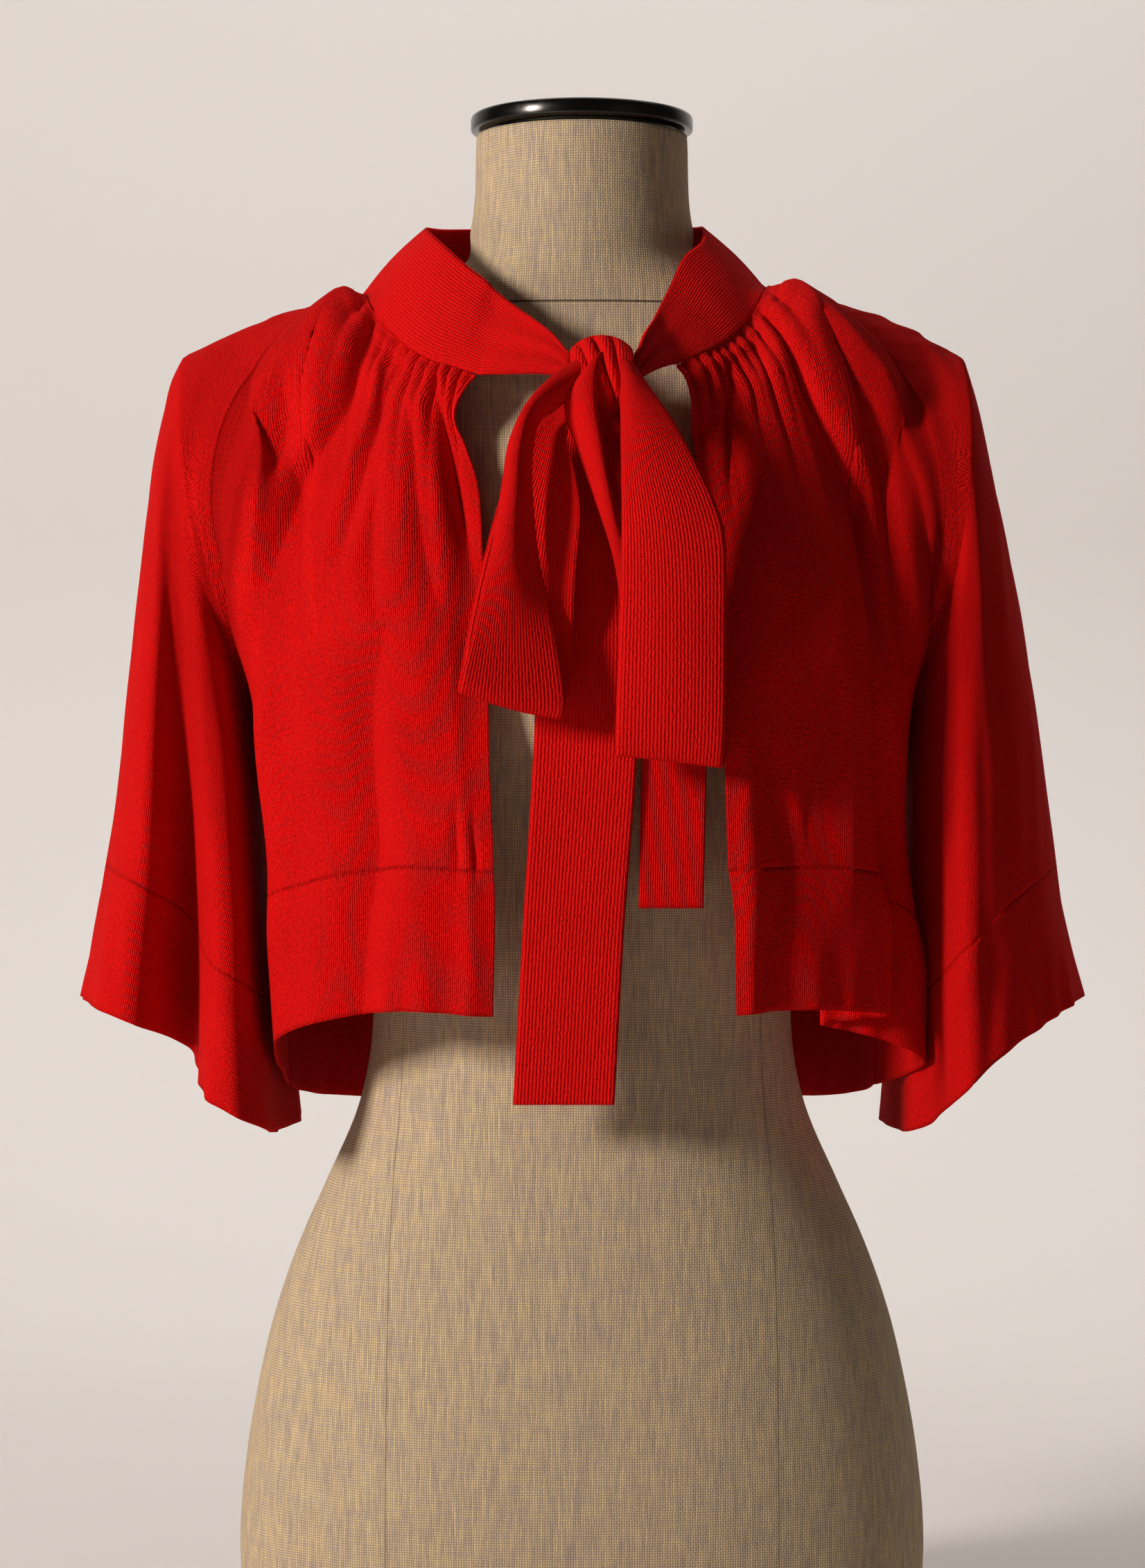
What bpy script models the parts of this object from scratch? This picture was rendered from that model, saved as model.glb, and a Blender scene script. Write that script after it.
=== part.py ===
import math

import bpy
import numpy as np

# A short knitted jacket with raglan sleeves and a tied neck band, on a limbless dress form.
# Sizes are in millimetres and are scaled to metres when a mesh is made. The front faces -Y, +Z is up,
# and right is the wearer's right (-X). The origin is the middle of the form's flat bottom.
MM = 0.001
CLOTH_WALL = 1.2
BAND_WALL = 1.6
SEAM_GAP = 0.34
REST_GAP = 1.5
BAND_DEPTH = 70.0
CUFF_DEPTH = 68.0
NECK_SHARE = 0.55
GATHER_HEIGHT = 1.1
GATHER_REACH = 0.22
FRONT_GATHERS = 10
BACK_GATHERS = 11
FORM_TOP = 795.0
CAP_TOP = 806.0
CAP_RADIUS = 57.0

# form: height, half width, front depth, back depth, roundness power
FORM_SECTIONS = np.array([
    (0, 169, 92, 112, 2.2),
    (40, 173, 94, 115, 2.2),
    (80, 175, 96, 117, 2.2),
    (118, 172, 97, 118, 2.2),
    (155, 166, 96, 118, 2.2),
    (197, 156, 93, 114, 2.2),
    (232, 143.5, 90, 106, 2.2),
    (260, 131, 87, 98, 2.2),
    (300, 114, 83, 86, 2.2),
    (345, 107, 82, 78, 2.2),
    (380, 110, 86, 80, 2.2),
    (420, 120, 95, 86, 2.2),
    (460, 133, 106, 91, 2.2),
    (495, 141, 112, 94, 2.2),
    (530, 147, 110, 96, 2.2),
    (560, 154, 105, 97, 2.2),
    (600, 167, 97, 97, 2.2),
    (640, 180, 86, 92, 2.2),
    (660, 186, 78, 86, 2.2),
    (674, 186, 70, 80, 2.1),
    (684, 179, 65, 75, 1.95),
    (692, 166, 61, 71, 1.9),
    (700, 145, 58, 68, 1.9),
    (706, 123, 57, 65, 1.9),
    (712, 98, 56, 62, 1.95),
    (718, 79, 56, 60, 2.0),
    (727, 63, 55, 58, 2.0),
    (748, 57, 54, 56, 2.0),
    (795, 54, 54, 54, 2.0),
])

# hanging cloth of the body: height, half width, front depth, back depth, roundness power
CLOTH_SECTIONS = np.array([
    (280, 150, 122, 118, 2.5),
    (350, 151.5, 126, 117, 2.4),
    (420, 155, 129, 115, 2.3),
    (490, 160, 130, 113, 2.3),
    (540, 163, 128, 112, 2.3),
    (600, 170, 119, 110, 2.3),
    (660, 178, 103, 100, 2.3),
    (715, 178, 84, 84, 2.3),
])

# angle from the middle of the front under each column of a front: position, right front, left front
FRONT_ANGLES = np.array([
    (0.0, 14.2, 19.5), (0.28, 30.0, 33.0), (NECK_SHARE, 47.0, 49.0), (0.75, 60.0, 61.0), (0.87, 72.0, 72.5),
    (0.94, 81.5, 82.0), (1.0, 92.6, 92.6),
])

# angle from the middle of the back under each column of the back: distance from the middle, angle
BACK_ANGLES = np.array([
    (0.0, 0.0), (0.28, 22.0), (0.56, 45.0), (0.76, 60.0), (0.88, 71.0), (0.94, 79.0), (1.0, 87.2),
])

# hem height round the body: angle from the front, height
HEM_LINE = np.array([
    (0, 352), (12, 351), (35, 353), (46, 350), (56, 344), (66, 336), (78, 322),
    (93, 308), (112, 300), (135, 295), (180, 290),
])

# neckline of a front from its corner to the raglan seam: position, outward, y, height
NECK_FRONT = {
    "right": np.array([
        (0.0, 50, -100, 662), (0.18, 62, -94.5, 666.5), (0.40, 76, -87, 671.5),
        (0.62, 90, -72, 682), (0.82, 103, -48, 697), (1.0, 112, -10, 712),
    ]),
    "left": np.array([
        (0.0, 46, -100, 667), (0.20, 60, -91, 674), (0.42, 70, -80, 680),
        (0.62, 79, -66, 689), (0.82, 88, -43, 702), (1.0, 94.5, -10, 714),
    ]),
}

# raglan seams from the neck to the underarm: position, outward, y, height
RAGLAN_FRONT = {
    "right": np.array([
        (0.0, 112, -10, 712), (0.09, 136, -22, 694), (0.15, 155, -34, 681), (0.23, 170, -47, 663),
        (0.33, 181, -60, 635), (0.43, 184, -66, 603), (0.545, 178, -62, 568), (0.70, 168, -43, 533),
        (0.86, 163, -15, 511), (1.0, 159, 6, 503),
    ]),
    "left": np.array([
        (0.0, 94.5, -10, 714), (0.09, 124, -24, 697), (0.15, 146, -36, 683), (0.23, 164, -48, 663),
        (0.33, 176, -60, 635), (0.43, 180, -66, 603), (0.545, 177, -62, 568), (0.70, 168, -43, 533),
        (0.86, 163, -15, 511), (1.0, 159, 6, 503),
    ]),
}
RAGLAN_BACK = {
    "right": np.array([
        (0.0, 98, 38, 714), (0.09, 128, 44, 701), (0.15, 149, 52, 686), (0.23, 167, 62, 663),
        (0.33, 179, 71, 632), (0.43, 183, 74, 600), (0.545, 178, 70, 565), (0.70, 168, 54, 531),
        (0.86, 163, 27, 511), (1.0, 159, 6, 503),
    ]),
    "left": np.array([
        (0.0, 84, 38, 715), (0.09, 118, 44, 702), (0.15, 142, 52, 686), (0.23, 162, 62, 663),
        (0.33, 175, 71, 632), (0.43, 180, 74, 600), (0.545, 177, 70, 565), (0.70, 168, 54, 531),
        (0.86, 163, 27, 511), (1.0, 159, 6, 503),
    ]),
}

# back neckline from the right raglan seam to the left one: position, x, y, height
NECK_BACK = np.array([
    (0.0, -98, 38, 714), (0.16, -76, 64, 711), (0.32, -44, 77, 708), (0.5, -6, 81, 707),
    (0.68, 34, 77, 709), (0.84, 64, 64, 712), (1.0, 84, 38, 715),
])

# hanging tube of a sleeve: position, inner x of the right and the left sleeve, front depth, back depth,
# outward lean of front and back
SLEEVE_TUBE = np.array([
    (0.0, 167, 167, 68, 68, 9), (0.08, 167, 167, 72, 72, 7), (0.25, 165, 167, 79, 80, 4),
    (0.5, 161.5, 166, 86, 88, 2), (0.75, 158.5, 165, 91, 92, 1), (1.0, 156.5, 164, 94, 95, 0),
])
# outer line of a sleeve: position, x of the right sleeve, x of the left sleeve
SLEEVE_OUTER = np.array([
    (0.0, 203, 194, 682), (0.03, 208, 197.5, 672), (0.08, 212.5, 202, 656), (0.16, 218.5, 208, 629),
    (0.25, 222.5, 214.5, 600), (0.38, 227.5, 223, 557), (0.56, 234, 233, 498), (0.72, 240, 240, 446),
    (0.86, 248, 246.5, 400), (1.0, 256.5, 257, 354),
])
SLEEVE_INNER_TOP = 496.0
SLEEVE_INNER_END = 285.0

# folded ring of a cuff from its inner seam over the front: place, share of the half width, share of the depth
CUFF_RING = {
    "right": np.array([
        (0.0, -1.0, 0.0), (0.05, -1.01, 0.34), (0.11, -0.93, 0.76), (0.155, -0.70, 0.95), (0.195, -0.42, 0.84),
        (0.24, -0.28, 0.46), (0.28, -0.20, 0.26), (0.32, 0.0, 0.36), (0.37, 0.30, 0.74), (0.415, 0.62, 0.68),
        (0.46, 0.88, 0.34), (0.5, 1.0, 0.0), (0.55, 0.92, -0.46), (0.60, 0.68, -0.84), (0.64, 0.40, -0.72),
        (0.68, 0.26, -0.42), (0.72, 0.04, -0.56), (0.77, -0.22, -0.96), (0.82, -0.52, -0.84),
        (0.86, -0.66, -0.62), (0.91, -0.88, -0.72), (0.96, -1.04, -0.36), (1.0, -1.0, 0.0),
    ]),
    "left": np.array([
        (0.0, -1.0, 0.0), (0.05, -0.96, 0.28), (0.10, -0.76, 0.44), (0.14, -0.68, 0.56), (0.18, -0.60, 0.80),
        (0.22, -0.44, 0.93), (0.28, -0.16, 0.88), (0.36, 0.36, 0.70), (0.44, 0.80, 0.38), (0.5, 1.0, 0.0),
        (0.56, 0.90, -0.50), (0.61, 0.66, -0.88), (0.66, 0.36, -0.78), (0.70, 0.20, -0.54), (0.75, -0.04, -0.72),
        (0.80, -0.34, -0.99), (0.86, -0.68, -0.82), (0.92, -0.92, -0.62), (0.97, -1.02, -0.28), (1.0, -1.0, 0.0),
    ]),
}

# hem rings of the fronts, the left one with a deep pleat: place, outward, y
HEM_RING = {
    "right": np.array([
        (0.0, 43, -123.5), (0.15, 62, -123), (0.35, 90, -119), (0.52, 114, -108), (0.66, 133, -94),
        (0.78, 147, -76), (0.86, 151, -60), (0.94, 151.5, -32), (1.0, 151, 5),
    ]),
    "left": np.array([
        (0.0, 74, -124), (0.06, 81, -124), (0.2, 101, -113), (0.4, 131, -94), (0.48, 145, -84), (0.53, 152, -76),
        (0.58, 146, -70), (0.64, 127, -70), (0.69, 119, -70), (0.74, 130, -66), (0.82, 152, -60), (0.88, 168, -52),
        (0.91, 171, -44), (0.95, 165, -26), (1.0, 151, 5),
    ]),
}
FRONT_LIFT = 6.0

# folds of the fronts: place at the top, place at the hem, width, depth, start, end, all along the piece
FRONT_FOLDS = {
    "right": [
        (0.14, 0.09, 0.040, 1.5, 0.0, 2.0),
        (0.36, 0.36, 0.060, -6.0, 0.02, 0.55),
        (0.52, 0.50, 0.050, -5.5, 0.05, 0.60),
        (0.40, 0.40, 0.110, -7.0, 0.55, 2.0),
        (0.79, 0.82, 0.058, 9.0, 0.12, 2.0),
    ],
    "left": [
        (0.10, 0.07, 0.040, 1.3, 0.0, 2.0),
        (0.46, 0.46, 0.055, -5.5, 0.05, 0.80),
        (0.30, 0.26, 0.045, -2.5, 0.55, 1.60),
    ],
}
# folds of the back, in the same columns
BACK_FOLDS = [
    (0.22, 0.14, 0.035, 5.0, 0.30, 2.0),
    (0.30, 0.26, 0.030, -5.0, 0.10, 1.60),
    (0.38, 0.37, 0.035, 5.0, 0.15, 2.0),
    (0.47, 0.46, 0.030, -6.0, 0.08, 1.80),
    (0.54, 0.56, 0.032, 4.5, 0.12, 1.30),
    (0.61, 0.67, 0.034, -5.5, 0.10, 2.0),
    (0.70, 0.78, 0.035, 5.5, 0.20, 2.0),
]
# folds of the sleeves: place at the top, place at the cuff, width, depth, start, end
SLEEVE_FOLDS = {
    "right": [
        (0.40, 0.40, 0.026, -1.5, 0.20, 1.4),
        (0.16, 0.15, 0.030, 3.0, 0.25, 1.2),
        (0.58, 0.57, 0.026, -2.0, 0.30, 1.6),
    ],
    "left": [
        (0.33, 0.34, 0.026, -1.5, 0.22, 1.5),
        (0.22, 0.22, 0.030, 2.5, 0.28, 1.5),
        (0.56, 0.58, 0.026, -2.0, 0.30, 1.6),
    ],
}

# upper edge of the neck band, in step with its lower edge: position, x, y, height
COLLAR_TOP = np.array([
    (0.0, -6.0, -121, 670), (0.03, -16, -108, 683), (0.06, -36, -84, 700), (0.11, -48, -74, 712),
    (0.157, -57, -66, 720), (0.208, -68, -52, 731.5), (0.257, -76, -32, 741), (0.30, -79.5, -5, 747.5),
    (0.36, -72, 30, 752), (0.43, -50, 56, 756), (0.50, -6, 67, 757), (0.57, 36, 60, 757),
    (0.64, 57.5, 30, 753), (0.70, 62, -6, 747), (0.744, 60, -30, 737), (0.792, 51, -49, 727),
    (0.85, 43, -68, 709), (0.90, 38, -82, 698), (0.94, 34, -95, 689), (0.97, 29, -110, 680),
    (1.0, 25.5, -121, 670),
])
# free lower edge of the neck band on each side of the knot: position, x, y, height
COLLAR_LOW = {
    "right": np.array([(0.0, -6.0, -121, 657), (0.5, -17, -112, 661), (1.0, -49.2, -100.6, 662.4)]),
    "left": np.array([(0.0, 45.2, -100.6, 667.4), (0.5, 35, -112, 663), (1.0, 25.5, -121, 657)]),
}

# wrap of the bow: x, half height, half depth, middle y, middle height
KNOT_SECTIONS = np.array([
    (-4.5, 13.0, 9.5, -126, 664), (-1.5, 16.0, 12.0, -126, 664), (4, 18.5, 13.6, -126.5, 664.5),
    (10, 19.5, 14.2, -127, 664.5), (16, 18.5, 13.6, -126.5, 664.5), (21.5, 16.0, 12.0, -126, 664),
    (24.5, 13.0, 9.5, -126, 664),
])
# strips of the bow: position, outer edge x, y, height, inner edge x, y, height
LOOP_RIGHT = np.array([
    (0.0, -3, -130.5, 670, -3, -130.5, 658),
    (0.07, -14, -134, 669, -9, -134, 653),
    (0.14, -26, -140, 652, -11, -141, 643),
    (0.24, -37, -145.5, 621, -8, -147, 612),
    (0.34, -44, -149, 583, -5, -150.5, 580),
    (0.46, -57.5, -149, 516, -11, -150.5, 503),
    (0.50, -58.8, -143, 506, -11.5, -144.5, 493.5),
    (0.54, -57.5, -136.5, 516, -10, -137.5, 503),
    (0.66, -47, -134, 575, -2, -134.5, 575),
    (0.78, -38, -132.5, 620, -1, -132, 617),
    (0.90, -20, -127.5, 655, -7, -127.5, 645),
    (1.0, -3, -126, 670, -3, -126, 658),
])
LOOP_LEFT = np.array([
    (0.0, 23, -130.5, 670, 23, -130.5, 658),
    (0.06, 30, -133, 666, 27.0, -133.5, 654),
    (0.12, 40, -138, 648, 19, -141, 638),
    (0.22, 56, -142, 615, 17, -145, 605),
    (0.32, 68.5, -145, 583, 16.8, -147, 570),
    (0.46, 69, -145, 484, 16, -147, 484),
    (0.50, 68.8, -140.5, 472, 15.7, -142, 472),
    (0.54, 70, -136, 484, 17, -137, 484),
    (0.68, 71, -136, 570, 20, -137, 570),
    (0.80, 58, -134, 618, 19, -135, 612),
    (0.91, 36, -128.5, 652, 27, -129, 641),
    (1.0, 23, -126, 670, 23, -126, 658),
])
TIE_LONG = np.array([
    (0.0, -1, -110.9, 664, 14, -110.9, 664),
    (0.03, -2, -110.9, 656, 15, -110.9, 656),
    (0.07, -6, -113, 638, 18, -113, 638),
    (0.13, -14, -117, 612, 22, -117, 612),
    (0.25, -21, -120.5, 560, 27, -120.5, 560),
    (0.45, -23, -121.5, 493, 27, -121.5, 493),
    (0.75, -29, -118, 390, 20, -118, 390),
    (1.0, -33.6, -115, 308, 15.5, -115, 308),
])
TIE_SHORT = np.array([
    (0.0, 4, -109.2, 662, 16, -109.2, 662),
    (0.05, 5, -109.2, 652, 20, -109.2, 652),
    (0.22, 20, -111.5, 612, 45, -111.5, 614),
    (0.55, 29.5, -116.5, 545, 60, -116, 545),
    (0.8, 28.5, -117, 480, 60, -116, 480),
    (1.0, 27, -115, 403, 58.5, -114, 403),
])

for old in list(bpy.data.objects):
    bpy.data.objects.remove(old, do_unlink=True)


def curve(rows, place):
    """Smooth curve through the rows of a table, whose first column is the position."""
    place = np.asarray(place, float)
    knots = rows[:, 0]
    values = rows[:, 1:]
    slopes = np.gradient(values, knots, axis=0)
    spot = np.clip(place, knots[0], knots[-1])
    index = np.clip(np.searchsorted(knots, spot, side="right") - 1, 0, len(knots) - 2)
    span = (knots[index + 1] - knots[index])[..., None]
    t = (spot[..., None] - knots[index][..., None]) / span
    first = (2 * t**3 - 3 * t**2 + 1) * values[index] + (t**3 - 2 * t**2 + t) * span * slopes[index]
    second = (3 * t**2 - 2 * t**3) * values[index + 1] + (t**3 - t**2) * span * slopes[index + 1]
    return first + second


def straight(rows, place):
    """Linear reading of a table, whose first column is the position."""
    columns = [np.interp(place, rows[:, 0], rows[:, i]) for i in range(1, rows.shape[1])]
    return np.stack(columns, axis=-1)


def smooth_step(t):
    t = np.clip(t, 0, 1)
    return t * t * (3 - 2 * t)


def ring(half_width, front, back, power, angle):
    """x and y on a superellipse, with the angle in degrees from the front."""
    radians = np.radians(angle)
    side = np.sin(radians)
    ahead = np.cos(radians)
    depth = np.where(ahead >= 0, front, back)
    x = half_width * np.sign(side) * np.abs(side) ** (2 / power)
    y = -depth * np.sign(ahead) * np.abs(ahead) ** (2 / power)
    return x, y


def unit(vectors):
    return vectors / np.maximum(np.linalg.norm(vectors, axis=-1, keepdims=True), 1e-9)


def form_level(points):
    """Zero on the form's surface, more outside and less inside."""
    size = straight(FORM_SECTIONS, points[..., 2])
    depth = np.where(points[..., 1] < 0, size[..., 1], size[..., 2])
    power = size[..., 3]
    total = np.abs(points[..., 0] / size[..., 0]) ** power + np.abs(points[..., 1] / depth) ** power
    return total ** (1 / power) - 1


def keep_clear(points, least):
    """Moves points out so that they lie at least this far from the form."""
    points = points.copy()
    for _ in range(6):
        level = form_level(points)
        slope = np.zeros(points.shape)
        for axis in range(3):
            step = np.zeros(3)
            step[axis] = 0.5
            slope[..., axis] = form_level(points + step) - form_level(points - step)
        steep = np.maximum(np.linalg.norm(slope, axis=-1), 1e-6)
        distance = level / steep
        wanted = least + np.log1p(np.exp(np.clip((distance - least) / 0.8, -40, 40))) * 0.8
        push = np.where(distance < least + 4, wanted - distance, 0)
        push = np.clip(push, 0, 8)
        points = points + unit(slope) * push[..., None]
    return points


def grid_normals(points, closed):
    """Outward normals of a grid whose first direction may be closed."""
    if closed:
        across = np.roll(points, -1, axis=0) - np.roll(points, 1, axis=0)
    else:
        across = np.gradient(points, axis=0)
    down = np.gradient(points, axis=1)
    return unit(np.cross(across, down))


def fold_height(folds, place, drop):
    """Height of the folds; drop is 0 at the top edge, 1 at the band and 2 at the hem."""
    height = np.zeros(np.broadcast(place, drop).shape)
    for top, low, width, depth, start, end in folds:
        middle = top + (low - top) * np.clip(drop, 0, 2) / 2
        rise = smooth_step((drop - start) / 0.35)
        fall = 1 - smooth_step((drop - end + 0.35) / 0.35) if end < 2 else 1.0
        height = height + depth * np.exp(-(((place - middle) / width) ** 2)) * rise * fall
    return height


def gather_height(place, drop, start, end, count, seed):
    """Height of the gathers under a gathered edge."""
    share = np.clip((place - start) / (end - start), 0, 1)
    drift = 0.22 * np.sin(2 * math.pi * (1.7 * share + seed)) + 0.12 * np.sin(2 * math.pi * (3.9 * share + 2 * seed))
    wave = np.cos(2 * math.pi * (count * share + drift))
    lively = 0.75 + 0.25 * np.sin(2 * math.pi * (2.6 * share + seed))
    ends = smooth_step(share / 0.06) * smooth_step((1 - share) / 0.06)
    inside = np.where((place >= start) & (place <= end), ends, 0)
    fade = np.exp(-((drop / GATHER_REACH) ** 1.3))
    grow = 1 + 1.4 * smooth_step(drop / 0.12)
    return GATHER_HEIGHT * wave * lively * inside * fade * grow


def front_top(side, place):
    """Neckline, then raglan seam, of a front."""
    neck = curve(NECK_FRONT[side], np.clip(place / NECK_SHARE, 0, 1))
    seam = curve(RAGLAN_FRONT[side], np.clip((place - NECK_SHARE) / (1 - NECK_SHARE), 0, 1))
    return np.where((place < NECK_SHARE)[:, None], neck, seam)


def back_top(place):
    """Right raglan seam, neckline, then left raglan seam, of the back."""
    right = curve(RAGLAN_BACK["right"], np.clip(1 - place / 0.22, 0, 1)) * np.array([-1, 1, 1])
    neck = curve(NECK_BACK, np.clip((place - 0.22) / 0.56, 0, 1))
    left = curve(RAGLAN_BACK["left"], np.clip((place - 0.78) / 0.22, 0, 1))
    first = np.where((place < 0.22)[:, None], right, neck)
    return np.where((place > 0.78)[:, None], left, first)


def hang(top, angle, drop):
    """Points below a top edge; drop is 0 at the edge, 1 at the band's seam and 2 at the hem."""
    hem = curve(HEM_LINE, np.abs(angle))[:, 0][:, None]
    seam = hem + BAND_DEPTH
    top_z = top[:, 2][:, None]
    z = np.where(drop <= 1, top_z + (seam - top_z) * np.clip(drop, 0, 1), seam - BAND_DEPTH * (drop - 1))
    size = curve(CLOTH_SECTIONS, z)
    x, y = ring(size[..., 0], size[..., 1], size[..., 2], size[..., 3], angle[:, None])
    ease = np.clip((top_z - z) / np.maximum(0.66 * (top_z - seam), 60), 0, 1)
    ease = 1 - (1 - ease) ** 2
    x = top[:, 0][:, None] + (x - top[:, 0][:, None]) * ease
    y = top[:, 1][:, None] + (y - top[:, 1][:, None]) * ease
    return keep_clear(np.stack([x, y, z], axis=-1), CLOTH_WALL / 2 + REST_GAP)


def ringed(side, points, place, drop):
    """Carries the shape of the hem ring up into a front."""
    place = np.broadcast_to(place, points.shape[:2])
    reading = place
    if side == "left":
        ahead = np.clip(1 - drop / 1.3, 0, 1) ** 1.5
        away = smooth_step((1 - place) / 0.05)
        reading = np.clip(place + 0.10 * ahead * smooth_step((place - 0.2) / 0.3) * away, 0, 1)
    shaped = curve(HEM_RING[side], reading)
    flat = np.empty(points.shape[:2] + (2,))
    for axis in (0, 1):
        for column in range(points.shape[1]):
            flat[:, column, axis] = np.interp(reading[:, column], place[:, -1], points[:, -1, axis])
    share = np.broadcast_to(smooth_step((drop - 0.10) / 1.3), points.shape[:2])
    moved = points.copy()
    moved[..., :2] += (shaped - flat) * share[..., None]
    return moved


def front_points(side, place, drop):
    """Middle surface of a front; x grows outward from the middle."""
    place = place[:, None]
    drop = drop[None, :]
    angle = curve(FRONT_ANGLES, place[:, 0])[:, 0 if side == "right" else 1]
    points = hang(front_top(side, place[:, 0]), angle, drop)
    points = keep_clear(ringed(side, points, place, drop), CLOTH_WALL / 2 + REST_GAP)
    normals = grid_normals(points, False)
    normals = normals * np.sign(-normals[..., 1:2].mean())
    height = fold_height(FRONT_FOLDS[side], place, drop)
    height = height + gather_height(place, drop, 0.0, NECK_SHARE, FRONT_GATHERS, 0.31 if side == "right" else 0.57)
    lift = FRONT_LIFT * smooth_step(drop / 0.12) * (1 - smooth_step((drop - 0.35) / 0.5))
    height = height + lift * smooth_step((1 - place) / 0.32)
    height = height * smooth_step((1 - place) / 0.08)
    return keep_clear(points + normals * height[..., None], CLOTH_WALL / 2 + REST_GAP)


def back_points(place, drop):
    """Middle surface of the back, from the right side seam to the left one."""
    place = place[:, None]
    drop = drop[None, :]
    out = np.abs(place[:, 0] - 0.5) * 2
    signed = (180 - curve(BACK_ANGLES, out)[:, 0]) * np.where(place[:, 0] < 0.5, -1, 1)
    points = hang(back_top(place[:, 0]), signed, drop)
    normals = grid_normals(points, False)
    normals = normals * np.sign(normals[..., 1:2].mean())
    height = fold_height(BACK_FOLDS, place, drop)
    height = height + gather_height(place, drop, 0.22, 0.78, BACK_GATHERS, 0.43)
    height = height * smooth_step(place / 0.06) * smooth_step((1 - place) / 0.06)
    return keep_clear(points + normals * height[..., None], CLOTH_WALL / 2 + REST_GAP)


def raglan_loop(side, around):
    """Top edge of a sleeve: front seam from the underarm up, neck, back seam down."""
    front = curve(RAGLAN_FRONT[side], np.clip(1 - around / 0.44, 0, 1))
    back = curve(RAGLAN_BACK[side], np.clip((around - 0.56) / 0.44, 0, 1))
    start = RAGLAN_FRONT[side][0, 1:]
    end = RAGLAN_BACK[side][0, 1:]
    share = np.clip((around - 0.44) / 0.12, 0, 1)[:, None]
    neck = start + (end - start) * share + np.array([2.5, 0, 0.8]) * np.sin(math.pi * share)
    loop = np.where((around < 0.44)[:, None], front, neck)
    return np.where((around > 0.56)[:, None], back, loop)


def tube_points(side, around, fall):
    """Hanging part of a sleeve; fall is 0 at the shoulder and 1 at the cuff's edge."""
    turn = 2 * math.pi * around
    tube = curve(SLEEVE_TUBE, fall)
    outer = curve(SLEEVE_OUTER, fall)
    outer_x = outer[..., 0] if side == "right" else outer[..., 1]
    inner_x = tube[..., 0] if side == "right" else tube[..., 1]
    inner_z = SLEEVE_INNER_TOP + (SLEEVE_INNER_END - SLEEVE_INNER_TOP) * fall
    shaped = curve(CUFF_RING[side], around)
    folded = np.clip(fall, 0, 1) ** 0.75
    plain = np.sign(np.sin(turn)) * np.abs(np.sin(turn)) ** 0.92
    wide = -np.cos(turn) * (1 - folded) + shaped[..., 0] * folded
    deep = plain * (1 - folded) + shaped[..., 1] * folded
    lean = tube[..., 4] * np.sin(turn) ** 2
    x = (inner_x + outer_x) / 2 + (outer_x - inner_x) / 2 * wide + lean
    depth = np.where(np.sin(turn) > 0, tube[..., 2], tube[..., 3])
    y = 4 - depth * deep
    z = inner_z + (outer[..., 2] - inner_z) * (1 - np.cos(turn)) / 2
    return np.stack(np.broadcast_arrays(x, y, z), axis=-1)


def sleeve_points(side, around, drop):
    """Middle surface of a sleeve; drop is 0 at the raglan seam, 1 at the cuff's seam and 2 at its edge."""
    wide = around[:, None]
    drop = drop[None, :]
    length = (354 - 682) * (1 - np.cos(2 * math.pi * wide)) / 2
    length = length + (SLEEVE_INNER_END - SLEEVE_INNER_TOP) * (1 + np.cos(2 * math.pi * wide)) / 2
    seam = 1 - CUFF_DEPTH / np.abs(length)
    cap = 0.30
    fall = np.where(drop <= 1, seam * np.clip((drop - cap) / (1 - cap), 0, 1), seam + (1 - seam) * (drop - 1))
    tube = tube_points(side, wide, fall)
    top = raglan_loop(side, around)[:, None, :]
    share = np.clip(drop / cap, 0, 1)[..., None]
    points = top + (tube - top) * share
    over = np.exp(-(((wide - 0.5) / 0.10) ** 2)) * np.sin(math.pi * share[..., 0])
    points[..., 2] += 5.5 * over
    points = keep_clear(points, CLOTH_WALL / 2 + REST_GAP)
    normals = grid_normals(points, False)
    middle = points.mean(axis=0, keepdims=True)
    normals = normals * np.sign((normals * (points - middle)).sum())
    height = fold_height(SLEEVE_FOLDS[side], wide, drop)
    height = height * smooth_step(wide / 0.06) * smooth_step((1 - wide) / 0.06)
    return keep_clear(points + normals * height[..., None], CLOTH_WALL / 2 + REST_GAP)


def mirrored(points, side):
    """Puts a piece that was laid out with x growing outward on its own side."""
    if side == "right":
        return points * np.array([-1, 1, 1])
    return points


def pull_back(points, normals, edge, amount):
    """Moves the points of one edge into their own piece, in the surface."""
    if edge == "top":
        line, inside, facing = points[:, 0], points[:, 1], normals[:, 0]
    elif edge == "start":
        line, inside, facing = points[0], points[1], normals[0]
    else:
        line, inside, facing = points[-1], points[-2], normals[-1]
    along = unit(np.gradient(line, axis=0))
    inward = np.cross(facing, along)
    flip = np.sign((inward * (inside - line)).sum(axis=-1, keepdims=True))
    moved = line + unit(inward * flip) * amount
    if edge == "top":
        points[:, 0] = moved
    elif edge == "start":
        points[0] = moved
    else:
        points[-1] = moved


def colour(name, base, roughness, metallic):
    material = bpy.data.materials.new(name)
    material.use_nodes = True
    shader = material.node_tree.nodes["Principled BSDF"]
    shader.inputs["Base Color"].default_value = (*base, 1)
    shader.inputs["Roughness"].default_value = roughness
    shader.inputs["Metallic"].default_value = metallic
    return material


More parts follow.
